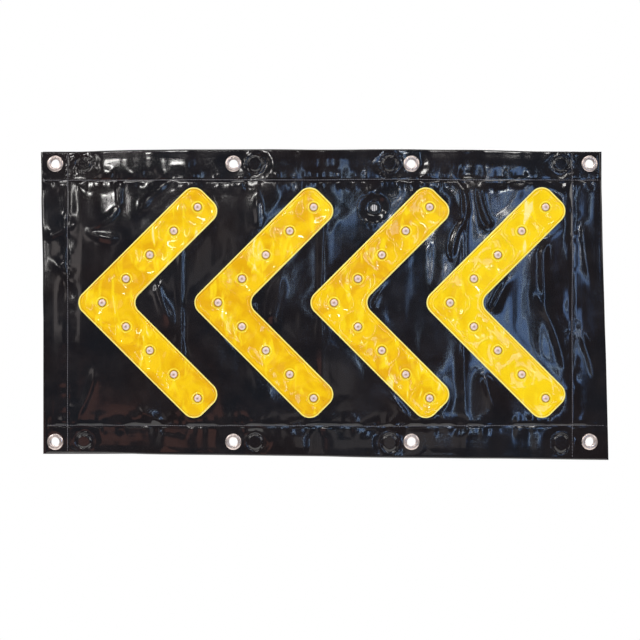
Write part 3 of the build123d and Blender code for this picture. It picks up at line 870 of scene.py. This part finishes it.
def turned_points(profile, centre):
    """A profile of (radius, y) turned about a light's axis, and the radius and turn of each point."""
    points, polar = [], []
    for radius, y in profile:
        for k in range(DOME_SIDES):
            turn = 2 * math.pi * k / DOME_SIDES
            points.append((centre[0] + radius * math.cos(turn), y, centre[1] + radius * math.sin(turn)))
            polar.append((radius, turn))
    return points, polar, ring_faces(len(profile), DOME_SIDES)


def light_profile(low, high):
    """A domed lens on a stepped collar, from its flange under the sheet to its tip."""
    root, tip = high[1], low[1]
    collar = front_face - COLLAR_STANDS
    shoulder = front_face - SHOULDER_STANDS
    dome = shoulder - tip
    profile = [
        (FLANGE_RADIUS, root), (FLANGE_RADIUS, root - FLANGE_DEPTH), (FLANGE_RADIUS - 0.05, collar + 0.2),
        (5.4, collar), (5.1, collar), (DOME_RADIUS + 0.05, collar + 0.12), (DOME_RADIUS, shoulder),
    ]
    for step in range(1, DOME_STEPS):
        angle = math.pi / 2 * step / DOME_STEPS
        profile.append((DOME_RADIUS * math.cos(angle), shoulder - dome * math.sin(angle)))
    profile.append((TIP_RADIUS, tip))
    return profile


def light_group(panel):
    """All the lights on one panel, as one mesh."""
    low, high = box_mm(f"light_lenses_{panel}")
    profile = light_profile(low, high)
    points, polar, faces = [], [], []
    for centre in spots(f"light_lenses_{panel}", LIGHT_APART):
        own_points, own_polar, own_faces = turned_points(profile, centre)
        faces += [tuple(i + len(points) for i in f) for f in own_faces]
        points += own_points
        polar += own_polar
    uv = [(r / LENS_MAP * math.cos(t) + 0.5, r / LENS_MAP * math.sin(t) + 0.5) for r, t in polar]
    return simple_piece(f"light_domes_{panel}", points, faces, uv)


# ---- material helpers ----
def new_group(name, inputs, outputs):
    """An empty shader group with named sockets: (socket name, type, starting value)."""
    group = bpy.data.node_groups.new(name, "ShaderNodeTree")
    for socket_name, kind, value in inputs:
        socket = group.interface.new_socket(socket_name, in_out="INPUT", socket_type=kind)
        if value is not None:
            socket.default_value = value
    for socket_name, kind in outputs:
        group.interface.new_socket(socket_name, in_out="OUTPUT", socket_type=kind)
    return group, group.nodes.new("NodeGroupInput"), group.nodes.new("NodeGroupOutput")


def feed(tree, socket, value):
    """Gives a socket a link from another node, or a plain value."""
    if isinstance(value, bpy.types.NodeSocket):
        tree.links.new(value, socket)
    else:
        socket.default_value = value


def node(tree, kind, settings=(), **inputs):
    """Adds a node; settings are its own properties, and inputs are values or links by socket name."""
    made = tree.nodes.new(kind)
    for key, value in dict(settings).items():
        setattr(made, key, value)
    for key, value in inputs.items():
        wanted = key.replace("_", " ").lower()
        feed(tree, next(s for s in made.inputs if s.name.lower() == wanted and s.enabled), value)
    return made


def maths(tree, operation, first, second=0.0):
    """The result of one sum, product or comparison."""
    made = tree.nodes.new("ShaderNodeMath")
    made.operation = operation
    for socket, value in zip(made.inputs, (first, second)):
        feed(tree, socket, value)
    return made.outputs[0]


def blend_colours(tree, factor, first, second):
    """The first colour where the factor is 0 and the second where it is 1."""
    made = tree.nodes.new("ShaderNodeMix")
    made.data_type = "RGBA"
    for number, value in ((0, factor), (6, first), (7, second)):
        feed(tree, made.inputs[number], value)
    return made.outputs[2]


def remap(tree, value, low, high, new_low, new_high):
    """A value's range low to high mapped onto a new range, and held at its ends."""
    made = node(tree, "ShaderNodeMapRange")
    tree.links.new(value, made.inputs[0])
    for i, number in enumerate((low, high, new_low, new_high)):
        made.inputs[i + 1].default_value = number
    return made.outputs[0]


def rgb(hex_text):
    """A linear colour from an sRGB hex code."""
    parts = [int(hex_text[i:i + 2], 16) / 255 for i in (0, 2, 4)]
    return tuple(c / 12.92 if c <= 0.04045 else ((c + 0.055) / 1.055) ** 2.4 for c in parts) + (1.0,)


def ribbed_film_group():
    """The fine upright ribs and faint cross threads of the cloth inside a coated sheet."""
    group, given, made = new_group(
        "ribbed_film",
        [("Place", "NodeSocketVector", None), ("Ribs per metre", "NodeSocketFloat", 700.0)],
        [("Height", "NodeSocketFloat"), ("Cloud", "NodeSocketFloat")],
    )
    parts = node(group, "ShaderNodeSeparateXYZ", Vector=given.outputs["Place"])
    wobble = node(group, "ShaderNodeTexNoise", Vector=given.outputs["Place"], Scale=60.0, Detail=2.0)
    turns = maths(group, "MULTIPLY", given.outputs["Ribs per metre"], 2 * math.pi)
    across = maths(group, "MULTIPLY", parts.outputs[0], turns)
    across = maths(group, "ADD", across, maths(group, "MULTIPLY", wobble.outputs[0], 5.0))
    up = maths(group, "MULTIPLY", parts.outputs[1], turns)
    ribs = maths(group, "SINE", across)
    threads = maths(group, "MULTIPLY", maths(group, "SINE", up), 0.25)
    group.links.new(maths(group, "ADD", ribs, threads), made.inputs["Height"])
    cloud = node(group, "ShaderNodeTexNoise", Vector=given.outputs["Place"], Scale=9.0, Detail=4.0)
    group.links.new(cloud.outputs[0], made.inputs["Cloud"])
    return group


def handling_group():
    """Smudges and hairline scratches from handling, as two masks."""
    group, given, made = new_group(
        "handling_marks",
        [("Place", "NodeSocketVector", None), ("Size", "NodeSocketFloat", 40.0)],
        [("Smudge", "NodeSocketFloat"), ("Scratch", "NodeSocketFloat")],
    )
    smudge = node(group, "ShaderNodeTexNoise", Vector=given.outputs["Place"], Detail=5.0, Roughness=0.62)
    group.links.new(given.outputs["Size"], smudge.inputs["Scale"])
    stretch = node(group, "ShaderNodeMapping", Vector=given.outputs["Place"], Scale=(1.0, 1.0, 14.0),
                   Rotation=(0.4, 0.7, 0.2))
    fine = node(group, "ShaderNodeTexNoise", Vector=stretch.outputs[0], Detail=3.0)
    group.links.new(maths(group, "MULTIPLY", given.outputs["Size"], 4.0), fine.inputs["Scale"])
    group.links.new(remap(group, smudge.outputs[0], 0.4, 0.7, 0, 1), made.inputs["Smudge"])
    group.links.new(remap(group, fine.outputs[0], 0.62, 0.72, 0, 1), made.inputs["Scratch"])
    return group


def new_material(name, **shader):
    """A material and its main shader, with plain values set on the shader's own sockets."""
    material = bpy.data.materials.new(name)
    material.use_nodes = True
    tree = material.node_tree
    main = tree.nodes["Principled BSDF"]
    for key, value in shader.items():
        main.inputs[key.replace("_", " ")].default_value = value
    return material, tree, main


def use_group(tree, group, place, **values):
    """Places a shared group in a material, with this material's own values."""
    made = tree.nodes.new("ShaderNodeGroup")
    made.node_tree = group
    tree.links.new(place, made.inputs["Place"])
    for key, value in values.items():
        made.inputs[key.replace("_", " ")].default_value = value
    return made


def flat_place(tree):
    """The place on the flat sheet, in metres: it stays with the sheet when the sheet bends."""
    uv = node(tree, "ShaderNodeUVMap", {"uv_map": "flat_place"})
    scaled = node(tree, "ShaderNodeMapping", Vector=uv.outputs[0], Scale=(1 / FLAT_SCALE,) * 3)
    return scaled.outputs[0]


def object_place(tree):
    """The place on a stiff piece, in metres: it turns with the piece."""
    return node(tree, "ShaderNodeTexCoord").outputs["Object"]


def bump(tree, height, strength, distance, under=None):
    """A normal raised by a height, over another bump if one is given."""
    made = node(tree, "ShaderNodeBump", Height=height, Strength=strength, Distance=distance)
    if under is not None:
        tree.links.new(under, made.inputs["Normal"])
    return made.outputs[0]


# ---- materials ----
def black_film(name, rough, rib_depth):
    """Glossy black coated cloth: faint ribs, clouds of brown and blue in the black, and smudges."""
    material, tree, main = new_material(name, Specular_IOR_Level=0.62, Coat_Roughness=0.04, Coat_IOR=1.5)
    place = flat_place(tree)
    film = use_group(tree, ribbed_film, place, Ribs_per_metre=430.0)
    marks = use_group(tree, handling_marks, place, Size=26.0)
    cloud = remap(tree, film.outputs["Cloud"], 0.35, 0.65, 0, 1)
    tone = blend_colours(tree, cloud, rgb("1b1617"), rgb("15171c"))
    colour = blend_colours(tree, maths(tree, "MULTIPLY", marks.outputs["Smudge"], 0.5), tone, rgb("272325"))
    tree.links.new(colour, main.inputs["Base Color"])
    roughness = maths(tree, "MULTIPLY", marks.outputs["Smudge"], 0.07)
    tree.links.new(maths(tree, "ADD", roughness, rough), main.inputs["Roughness"])
    coat = remap(tree, marks.outputs["Scratch"], 0, 1, 0.35, 0.1)
    tree.links.new(coat, main.inputs["Coat Weight"])
    wave = node(tree, "ShaderNodeTexNoise", Vector=place, Scale=95.0, Detail=1.0)
    soft = bump(tree, wave.outputs[0], 0.3, 0.00015)
    tree.links.new(bump(tree, film.outputs["Height"], rib_depth, 0.000007, soft), main.inputs["Normal"])
    return material


def yellow_film():
    """Golden reflective sheet under a clear film, with a pale welded rim; painted highlights, painted light
    towards the right end and a painted shadow ring round each light.
    """
    material, tree, main = new_material("yellow_reflector", Specular_IOR_Level=0.12, Coat_Weight=1.0,
                                        Coat_Roughness=0.04, Coat_IOR=1.5)
    place = flat_place(tree)
    edge = node(tree, "ShaderNodeAttribute", {"attribute_name": "edge_distance"}).outputs["Fac"]
    blotch = node(tree, "ShaderNodeTexNoise", Vector=place, Scale=22.0, Detail=3.0, Distortion=1.4)
    streak_place = node(tree, "ShaderNodeMapping", Vector=place, Scale=(1.0, 0.3, 1.0), Rotation=(0, 0, 0.25))
    streak = node(tree, "ShaderNodeTexNoise", Vector=streak_place.outputs[0], Scale=70.0, Detail=2.0,
                  Distortion=0.8)
    mottle = remap(tree, blotch.outputs[0], 0.42, 0.58, 0, 1)
    deep = blend_colours(tree, mottle, rgb("e9b000"), rgb("f8cb02"))
    across = node(tree, "ShaderNodeSeparateXYZ", Vector=place).outputs[0]
    middle = FLAT_SHIFT / FLAT_SCALE
    # Painted light: the face is made paler and yellower from 120 mm right of the middle, where more light
    # falls.
    painted_light_right = remap(tree, across, middle + 0.12, middle + 0.22, 0, 0.55)
    deep = blend_colours(tree, painted_light_right, deep, rgb("ffe00c"))
    # Painted highlights: where the streak noise is high, the face is made lighter, and near white at the
    # peaks, for reflections in the clear film.
    lit = remap(tree, streak.outputs[0], 0.56, 0.66, 0, 0.9)
    face = blend_colours(tree, lit, deep, rgb("ffdf18"))
    painted_glint = remap(tree, streak.outputs[0], 0.68, 0.74, 0, 0.8)
    face = blend_colours(tree, painted_glint, face, rgb("fff0a0"))
    cells = node(tree, "ShaderNodeTexVoronoi", {"feature": "DISTANCE_TO_EDGE"}, Vector=place, Scale=420.0)
    grid = remap(tree, cells.outputs["Distance"], 0.0, 0.12, 0.16, 0)
    face = blend_colours(tree, grid, face, rgb("d79c00"))
    # A darker line along the groove of the welded rim, 2.45 to 3.35 mm in from the edge.
    fold = maths(tree, "COMPARE", edge, 2.9)
    fold.node.inputs[2].default_value = 0.45
    face = blend_colours(tree, maths(tree, "MULTIPLY", fold, 0.55), face, rgb("c48f00"))
    rim = remap(tree, edge, 1.3, 1.9, 1, 0)
    face = blend_colours(tree, rim, face, rgb("fff083"))
    # Painted highlight: a brighter yellow ring round each light, about 7 to 9 mm out, over the pinched ring.
    ring_highlight = maths(tree, "MULTIPLY", remap(tree, edge, 20, 24, 0, 0.8), remap(tree, edge, 28, 31, 1, 0))
    face = blend_colours(tree, ring_highlight, face, rgb("ffec40"))
    # Painted shadow: an olive ring just round each light's hole, inside about 6.9 mm.
    face = blend_colours(tree, remap(tree, edge, 31, 35, 0, 0.5), face, rgb("b98f14"))
    tree.links.new(face, main.inputs["Base Color"])
    tree.links.new(remap(tree, blotch.outputs[0], 0.3, 0.7, 0.3, 0.42), main.inputs["Roughness"])
    soft = bump(tree, streak.outputs[0], 0.5, 0.0007)
    tree.links.new(bump(tree, cells.outputs["Distance"], 0.15, 0.00012, soft), main.inputs["Normal"])
    return material


def thread():
    """Grey twisted sewing thread."""
    material, tree, main = new_material("stitching_thread", Roughness=0.62, Sheen_Weight=0.3)
    place = object_place(tree)
    twist_place = node(tree, "ShaderNodeMapping", Vector=place, Rotation=(0, 0.8, 0))
    twist = node(tree, "ShaderNodeTexWave", Vector=twist_place.outputs[0], Scale=900.0, Distortion=1.0)
    colour = blend_colours(tree, twist.outputs["Fac"], rgb("504e55"), rgb("96939c"))
    tree.links.new(colour, main.inputs["Base Color"])
    tree.links.new(bump(tree, twist.outputs["Fac"], 0.5, 0.0001), main.inputs["Normal"])
    return material


def light_dome():
    """A milky lens: pale pink, with a brown spot at its tip, and its collar coloured gold-olive as painted
    shade round the lens.
    """
    material, tree, main = new_material("light_dome", Roughness=0.12, Coat_Weight=1.0, Coat_Roughness=0.03,
                                        Subsurface_Weight=0.25, Subsurface_Scale=0.002)
    uv = node(tree, "ShaderNodeUVMap", {"uv_map": "flat_place"}).outputs[0]
    away = node(tree, "ShaderNodeVectorMath", {"operation": "DISTANCE"})
    tree.links.new(uv, away.inputs[0])
    away.inputs[1].default_value = (0.5, 0.5, 0)
    radius = maths(tree, "MULTIPLY", away.outputs["Value"], LENS_MAP)
    grain = node(tree, "ShaderNodeTexNoise", Vector=object_place(tree), Scale=900.0, Detail=3.0)
    milk = blend_colours(tree, grain.outputs[0], rgb("e9d3cf"), rgb("fbeeea"))
    cup = remap(tree, radius, 1.6, 3.4, 0, 1)
    colour = blend_colours(tree, cup, rgb("cdb0a8"), milk)
    spot = remap(tree, radius, 0.5, 1.3, 0.8, 0)
    colour = blend_colours(tree, spot, colour, rgb("8f7466"))
    # Painted shade: from a radius of 4.8 mm out, the collar is coloured gold-olive for the shade ring round
    # the lens.
    collar_shade = remap(tree, radius, 4.8, 5.0, 0, 1)
    colour = blend_colours(tree, collar_shade, colour, rgb("d8b24a"))
    tree.links.new(colour, main.inputs["Base Color"])
    tree.links.new(bump(tree, grain.outputs[0], 0.1, 0.0001), main.inputs["Normal"])
    return material


def nickel():
    """Satin nickel plating, a little warm, with smudges."""
    material, tree, main = new_material("nickel_eyelet", Metallic=0.75)
    place = object_place(tree)
    marks = use_group(tree, handling_marks, place, Size=160.0)
    colour = blend_colours(tree, marks.outputs["Smudge"], rgb("f1e2dc"), rgb("d5c3bd"))
    tree.links.new(colour, main.inputs["Base Color"])
    rough = maths(tree, "ADD", maths(tree, "MULTIPLY", marks.outputs["Smudge"], 0.12), 0.26)
    tree.links.new(rough, main.inputs["Roughness"])
    tree.links.new(bump(tree, marks.outputs["Scratch"], 0.12, 0.0001), main.inputs["Normal"])
    return material


def bare_metal(name, light, dark, rough):
    """Brushed or plain metal with smudges."""
    material, tree, main = new_material(name, Metallic=1.0)
    marks = use_group(tree, handling_marks, object_place(tree), Size=120.0)
    colour = blend_colours(tree, marks.outputs["Smudge"], rgb(light), rgb(dark))
    tree.links.new(colour, main.inputs["Base Color"])
    tree.links.new(remap(tree, marks.outputs["Smudge"], 0, 1, rough, rough + 0.16), main.inputs["Roughness"])
    tree.links.new(bump(tree, marks.outputs["Scratch"], 0.2, 0.0001), main.inputs["Normal"])
    return material


def moulded(name, light, dark, rough, grain_size=900.0, grain_depth=0.35):
    """Moulded plastic or rubber with a fine spark-eroded grain and handling marks."""
    material, tree, main = new_material(name, Specular_IOR_Level=0.5)
    place = object_place(tree)
    marks = use_group(tree, handling_marks, place, Size=45.0)
    grain = node(tree, "ShaderNodeTexNoise", Vector=place, Scale=grain_size, Detail=3.0)
    colour = blend_colours(tree, marks.outputs["Smudge"], rgb(light), rgb(dark))
    worn = maths(tree, "MULTIPLY", marks.outputs["Scratch"], 0.2)
    colour = blend_colours(tree, worn, colour, rgb("6b6b6e"))
    tree.links.new(colour, main.inputs["Base Color"])
    tree.links.new(remap(tree, marks.outputs["Smudge"], 0, 1, rough, rough + 0.12), main.inputs["Roughness"])
    tree.links.new(bump(tree, grain.outputs[0], grain_depth, 0.0001), main.inputs["Normal"])
    return material


def sensor_face():
    """A silvery light sensor with a dark winding track under a clear window."""
    material, tree, main = new_material("sensor_window", Roughness=0.2, Coat_Weight=1.0, Coat_Roughness=0.04)
    place = object_place(tree)
    marks = use_group(tree, handling_marks, place, Size=150.0)
    bands = node(tree, "ShaderNodeTexWave", Vector=place, Scale=125.0, Distortion=2.0)
    silver = blend_colours(tree, marks.outputs["Smudge"], rgb("d2d0d0"), rgb("b2b0b2"))
    track = remap(tree, bands.outputs["Fac"], 0.2, 0.4, 0.85, 0)
    tree.links.new(blend_colours(tree, track, silver, rgb("3a3233")), main.inputs["Base Color"])
    tree.links.new(bump(tree, bands.outputs["Fac"], 0.2, 0.0001), main.inputs["Normal"])
    return material


def build_materials():
    """One material for each finish, by the record's slot name."""
    return {
        "black_sheet": black_film("black_sheet", 0.09, 0.3),
        "black_back": black_film("black_back", 0.2, 0.5),
        "yellow_reflector": yellow_film(),
        "clear_lens": light_dome(),
        "thread": thread(),
        "green_board": moulded("green_board", "1d6a3a", "175530", 0.35, 500.0, 0.15),
        "grey_ribbon": moulded("grey_ribbon", "8b8c8e", "77787a", 0.5, 300.0, 0.2),
        "nickel_eyelet": nickel(),
        "nickel_magnet": bare_metal("nickel_magnet", "cfcfd2", "b4b5b9", 0.18),
        "black_case": moulded("black_case", "2b2b2f", "37373c", 0.38),
        "black_rubber": moulded("black_rubber", "101010", "1c1b1b", 0.68, 600.0, 0.5),
        "red_button": moulded("red_button", "b3160f", "8f0f0a", 0.36, 700.0, 0.25),
        "cell_jacket": moulded("cell_jacket", "c9a227", "a8841a", 0.25, 400.0, 0.1),
        "spring_contact": bare_metal("spring_contact", "d8d2c0", "b8b09a", 0.25),
        "steel_screw": bare_metal("steel_screw", "c4c5c8", "9fa0a4", 0.28),
        "aluminium_plate": bare_metal("aluminium_plate", "c9cbce", "aeb0b4", 0.35),
        "sensor_window": sensor_face(),
        "black_bezel": moulded("black_bezel", "0d0d0f", "1a1a1c", 0.3),
    }


NODE_FINISHES = {
    "front_sheet": "black_sheet", "back_sheet": "black_sheet", "fold_sheets": "black_sheet",
    "reflectors": "yellow_reflector", "fold_reflectors": "yellow_reflector", "light_lenses": "clear_lens",
    "light_boards": "green_board", "ribbon_wiring": "grey_ribbon", "fold_ribbon": "grey_ribbon",
    "eyelets": "nickel_eyelet", "eyelet_washers": "nickel_eyelet", "magnets": "nickel_magnet",
    "sensor_cell": "sensor_window", "sensor_bezel": "black_bezel", "sensor_board": "green_board",
    "backing_plate": "aluminium_plate", "battery_case": "black_case", "case_seal": "black_rubber",
    "battery_door": "black_case", "door_pin": "steel_screw", "battery_cells": "cell_jacket",
    "battery_contacts": "spring_contact", "control_board": "green_board", "control_cover": "black_case",
    "power_button": "red_button", "lead_grommet": "black_rubber", "unit_screws": "steel_screw",
}


def finish_nodes():
    """Gives every CAD node its finish."""
    for name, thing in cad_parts.items():
        base = name.rstrip("0123456789").rstrip("_")
        thing.data.materials.clear()
        thing.data.materials.append(finishes[NODE_FINISHES[base]])


# ---- putting the banner together ----
def bend_piece(piece, stretch):
    """The piece turns with both bodies of its stretch, and bends evenly across their hinge."""
    reach = hinge_offset - 0.1
    start = ((stretch["hinge"] - reach) * MM, 0, 0)
    end = ((stretch["hinge"] + reach) * MM, 0, 0)
    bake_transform(piece, *stretch["pair"], start=start, end=end)


def build_sheets():
    """The front sheet with its hem, the back sheet, and the stitching, a stretch at a time."""
    front = surface(*front_sheet_surface())
    back = surface(*back_sheet_surface())
    for number, stretch in enumerate(stretches, 1):
        piece = solid_piece(f"front_cover_{number}", stretch_of(front, stretch["span"]), SHEET_THICKNESS)
        piece.data.materials.append(finishes["black_sheet"])
        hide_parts(f"front_sheet_{stretch['panel']}", f"fold_sheets_{stretch['fold']}")
        bend_piece(piece, stretch)
        rear = solid_piece(f"rear_cover_{number}", stretch_of(back, stretch["span"]), SHEET_THICKNESS)
        rear.data.materials.append(finishes["black_back"])
        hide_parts(f"back_sheet_{stretch['panel']}", f"fold_sheets_{stretch['fold']}")
        bend_piece(rear, stretch)
        threads = simple_piece(f"hem_stitching_{number}", *stitching(stretch["span"]))
        threads.data.materials.append(finishes["thread"])
        bend_piece(threads, stretch)
    front.free()
    back.free()


def chevron_floor(x, z):
    """Y of the underside of a chevron: on the front sheet."""
    return front_face - shared_relief(x, z) + 0.15


def build_chevrons():
    """Each chevron is in two parts that meet at a fold."""
    for number, fold in enumerate(FOLD_ACROSS):
        points, faces, from_edge = chevron_surface(number)
        whole = surface(points, faces, from_edge)
        for stretch in stretches:
            if stretch["fold"] != fold:
                continue
            left = stretch["pair"][1] == f"fold_{fold}"
            span = (-BEYOND, fold_x[fold - 1]) if left else (fold_x[fold - 1], BEYOND)
            name = f"chevron_{number + 1}_{'left' if left else 'right'}"
            piece = solid_piece(name, stretch_of(whole, span), floor=chevron_floor)
            piece.data.materials.append(finishes["yellow_reflector"])
            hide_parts(f"reflectors_{stretch['panel']}", f"fold_reflectors_{fold}")
            bend_piece(piece, stretch)
        whole.free()


def build_lights():
    """The lenses, panel by panel: the eyelets, boards and wiring keep their own nodes."""
    for panel in range(1, 5):
        piece = light_group(panel)
        piece.data.materials.append(finishes["clear_lens"])
        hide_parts(f"light_lenses_{panel}")
        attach(piece, f"panel_{panel}")


# ---- studio, in metres ----
VIEW_WIDTH = 0.911          # how much of the banner's plane the view spans
VIEW_MIDDLE = (-0.0034, -0.0246)
LENS = 85.0
SENSOR_WIDTH = 36.0
WALL = -2.4                 # Y of the windows and lamps that show in the gloss
REAR_WALL = 2.4
FLOOR_RADIUS = 1.15
FLOOR_HEIGHT = -0.74


def studio_camera():
    """The camera looks straight at the front."""
    camera = put_in_scene("camera", bpy.data.cameras.new("camera"))
    camera.data.lens = LENS
    camera.data.sensor_width = SENSOR_WIDTH
    distance = VIEW_WIDTH * LENS / SENSOR_WIDTH
    camera.location = (VIEW_MIDDLE[0], front_face * MM - distance, VIEW_MIDDLE[1])
    camera.rotation_euler = (math.pi / 2, 0, 0)
    bpy.context.scene.camera = camera


def panel_light(name, place, size, colour, brightness):
    """A soft rectangular light that faces the banner's middle and that the camera doesn't see."""
    light = bpy.data.lights.new(name, "AREA")
    light.shape = "RECTANGLE"
    light.size, light.size_y = size
    light.color = colour
    light.energy = brightness * math.pi * size[0] * size[1]
    holder = put_in_scene(name, light)
    holder.location = place
    towards = -np.array(place)
    length = np.linalg.norm(towards)
    holder.rotation_euler = (
        math.acos(-towards[2] / length),
        0,
        math.atan2(towards[1], towards[0]) - math.pi / 2,
    )
    holder.visible_camera = False
    return holder


def studio_lights():
    """Soft key lights, then the windows, lamps and shelves whose shapes show in the gloss, front and rear."""
    white = (1.0, 0.98, 0.95)
    blue = (0.25, 0.48, 1.0)
    pale_blue = (0.6, 0.8, 1.0)
    warm = (1.0, 0.42, 0.3)
    grey = (1.0, 0.9, 0.86)
    panel_light("key_left", (-1.9, -1.6, 1.3), (1.2, 1.2), white, 3.4)
    panel_light("fill_right", (2.0, -1.7, 0.9), (1.0, 1.4), white, 2.6)
    panel_light("ceiling", (0, -0.9, 1.9), (2.2, 0.6), white, 2.4)
    for name, x, z, width, height in (
        ("window_middle", 0.03, 0.20, 0.045, 0.62),
        ("window_right", 0.44, 0.30, 0.045, 0.44),
        ("window_outer", 0.65, 0.08, 0.12, 0.58),
        ("window_far", 1.02, 0.32, 0.05, 0.40),
        ("window_low", 0.46, -0.26, 0.06, 0.34),
    ):
        panel_light(name, (x, WALL, z), (width, height), blue, 3.2)
        panel_light(name + "_edge", (x - width / 2 - 0.012, WALL, z), (0.010, height), pale_blue, 13.0)
    panel_light("lamp_upper_left", (-0.54, WALL, 0.53), (0.13, 0.045), white, 45.0)
    panel_light("lamp_right", (0.5, WALL, 0.16), (0.025, 0.05), white, 32.0)
    panel_light("lamp_upper_right", (0.40, WALL, 0.38), (0.04, 0.03), white, 60.0)
    panel_light("strip_high_left", (-0.5, WALL, 1.0), (0.6, 0.08), white, 22.0)
    panel_light("strip_high_right", (0.5, WALL, 1.05), (0.4, 0.08), white, 16.0)
    panel_light("strip_left", (-1.35, WALL, 0.4), (0.05, 0.5), white, 14.0)
    panel_light("shelf_left", (-0.98, WALL, 0.10), (0.24, 0.36), grey, 0.9)
    panel_light("shelf_inner_left", (-0.34, WALL, 0.10), (0.10, 0.40), grey, 0.35)
    panel_light("glow_low_left", (-0.62, -2.3, -0.42), (0.5, 0.26), warm, 0.45)
    panel_light("glow_low_right", (0.16, -2.3, -0.42), (0.4, 0.22), grey, 0.32)
    panel_light("rear_fill", (0.9, 2.0, 1.3), (1.6, 1.2), white, 6.0)
    panel_light("rear_key", (-1.6, 1.8, 0.9), (1.2, 1.2), white, 6.0)
    panel_light("rear_strip", (-0.9, REAR_WALL, 0.5), (0.2, 1.2), white, 6.0)
    panel_light("rear_strip_high", (0.3, REAR_WALL, 0.9), (1.0, 0.10), white, 14.0)
    panel_light("rear_window", (0.45, REAR_WALL, 0.25), (0.16, 0.5), grey, 2.4)
    panel_light("rear_window_right", (-0.45, REAR_WALL, 0.3), (0.10, 0.5), grey, 1.8)


def studio_world():
    """White behind the banner, and a dim room for reflections."""
    world = bpy.data.worlds.new("studio")
    bpy.context.scene.world = world
    world.use_nodes = True
    tree = world.node_tree
    back = tree.nodes["Background"]
    rays = node(tree, "ShaderNodeLightPath")
    to_see = blend_colours(tree, rays.outputs["Is Camera Ray"], rgb("2c2e33"), (1, 1, 1, 1))
    colour = blend_colours(tree, rays.outputs["Is Diffuse Ray"], to_see, (0.62, 0.62, 0.62, 1))
    tree.links.new(colour, back.inputs["Color"])
    back.inputs["Strength"].default_value = 1.0


def studio_floor():
    """A plain pale round floor below the banner."""
    floor = bmesh.new()
    bmesh.ops.create_circle(floor, cap_ends=True, segments=96, radius=FLOOR_RADIUS)
    mesh = bpy.data.meshes.new("floor")
    floor.to_mesh(mesh)
    floor.free()
    thing = put_in_scene("floor", mesh)
    thing.location = (0, 0, FLOOR_HEIGHT)
    material, tree, main = new_material("floor_paint", Roughness=0.6)
    grain = node(tree, "ShaderNodeTexNoise", Vector=object_place(tree), Scale=3.0)
    colour = blend_colours(tree, grain.outputs[0], rgb("f3f3f2"), rgb("eeeeec"))
    tree.links.new(colour, main.inputs["Base Color"])
    mesh.materials.append(material)


# ---- the whole banner ----
ribbed_film = ribbed_film_group()
handling_marks = handling_group()
finishes = build_materials()
finish_nodes()
all_stitches = stitch_places()
build_sheets()
build_chevrons()
build_lights()
studio_camera()
studio_lights()
studio_world()
studio_floor()
bpy.context.scene.view_settings.view_transform = "Standard"
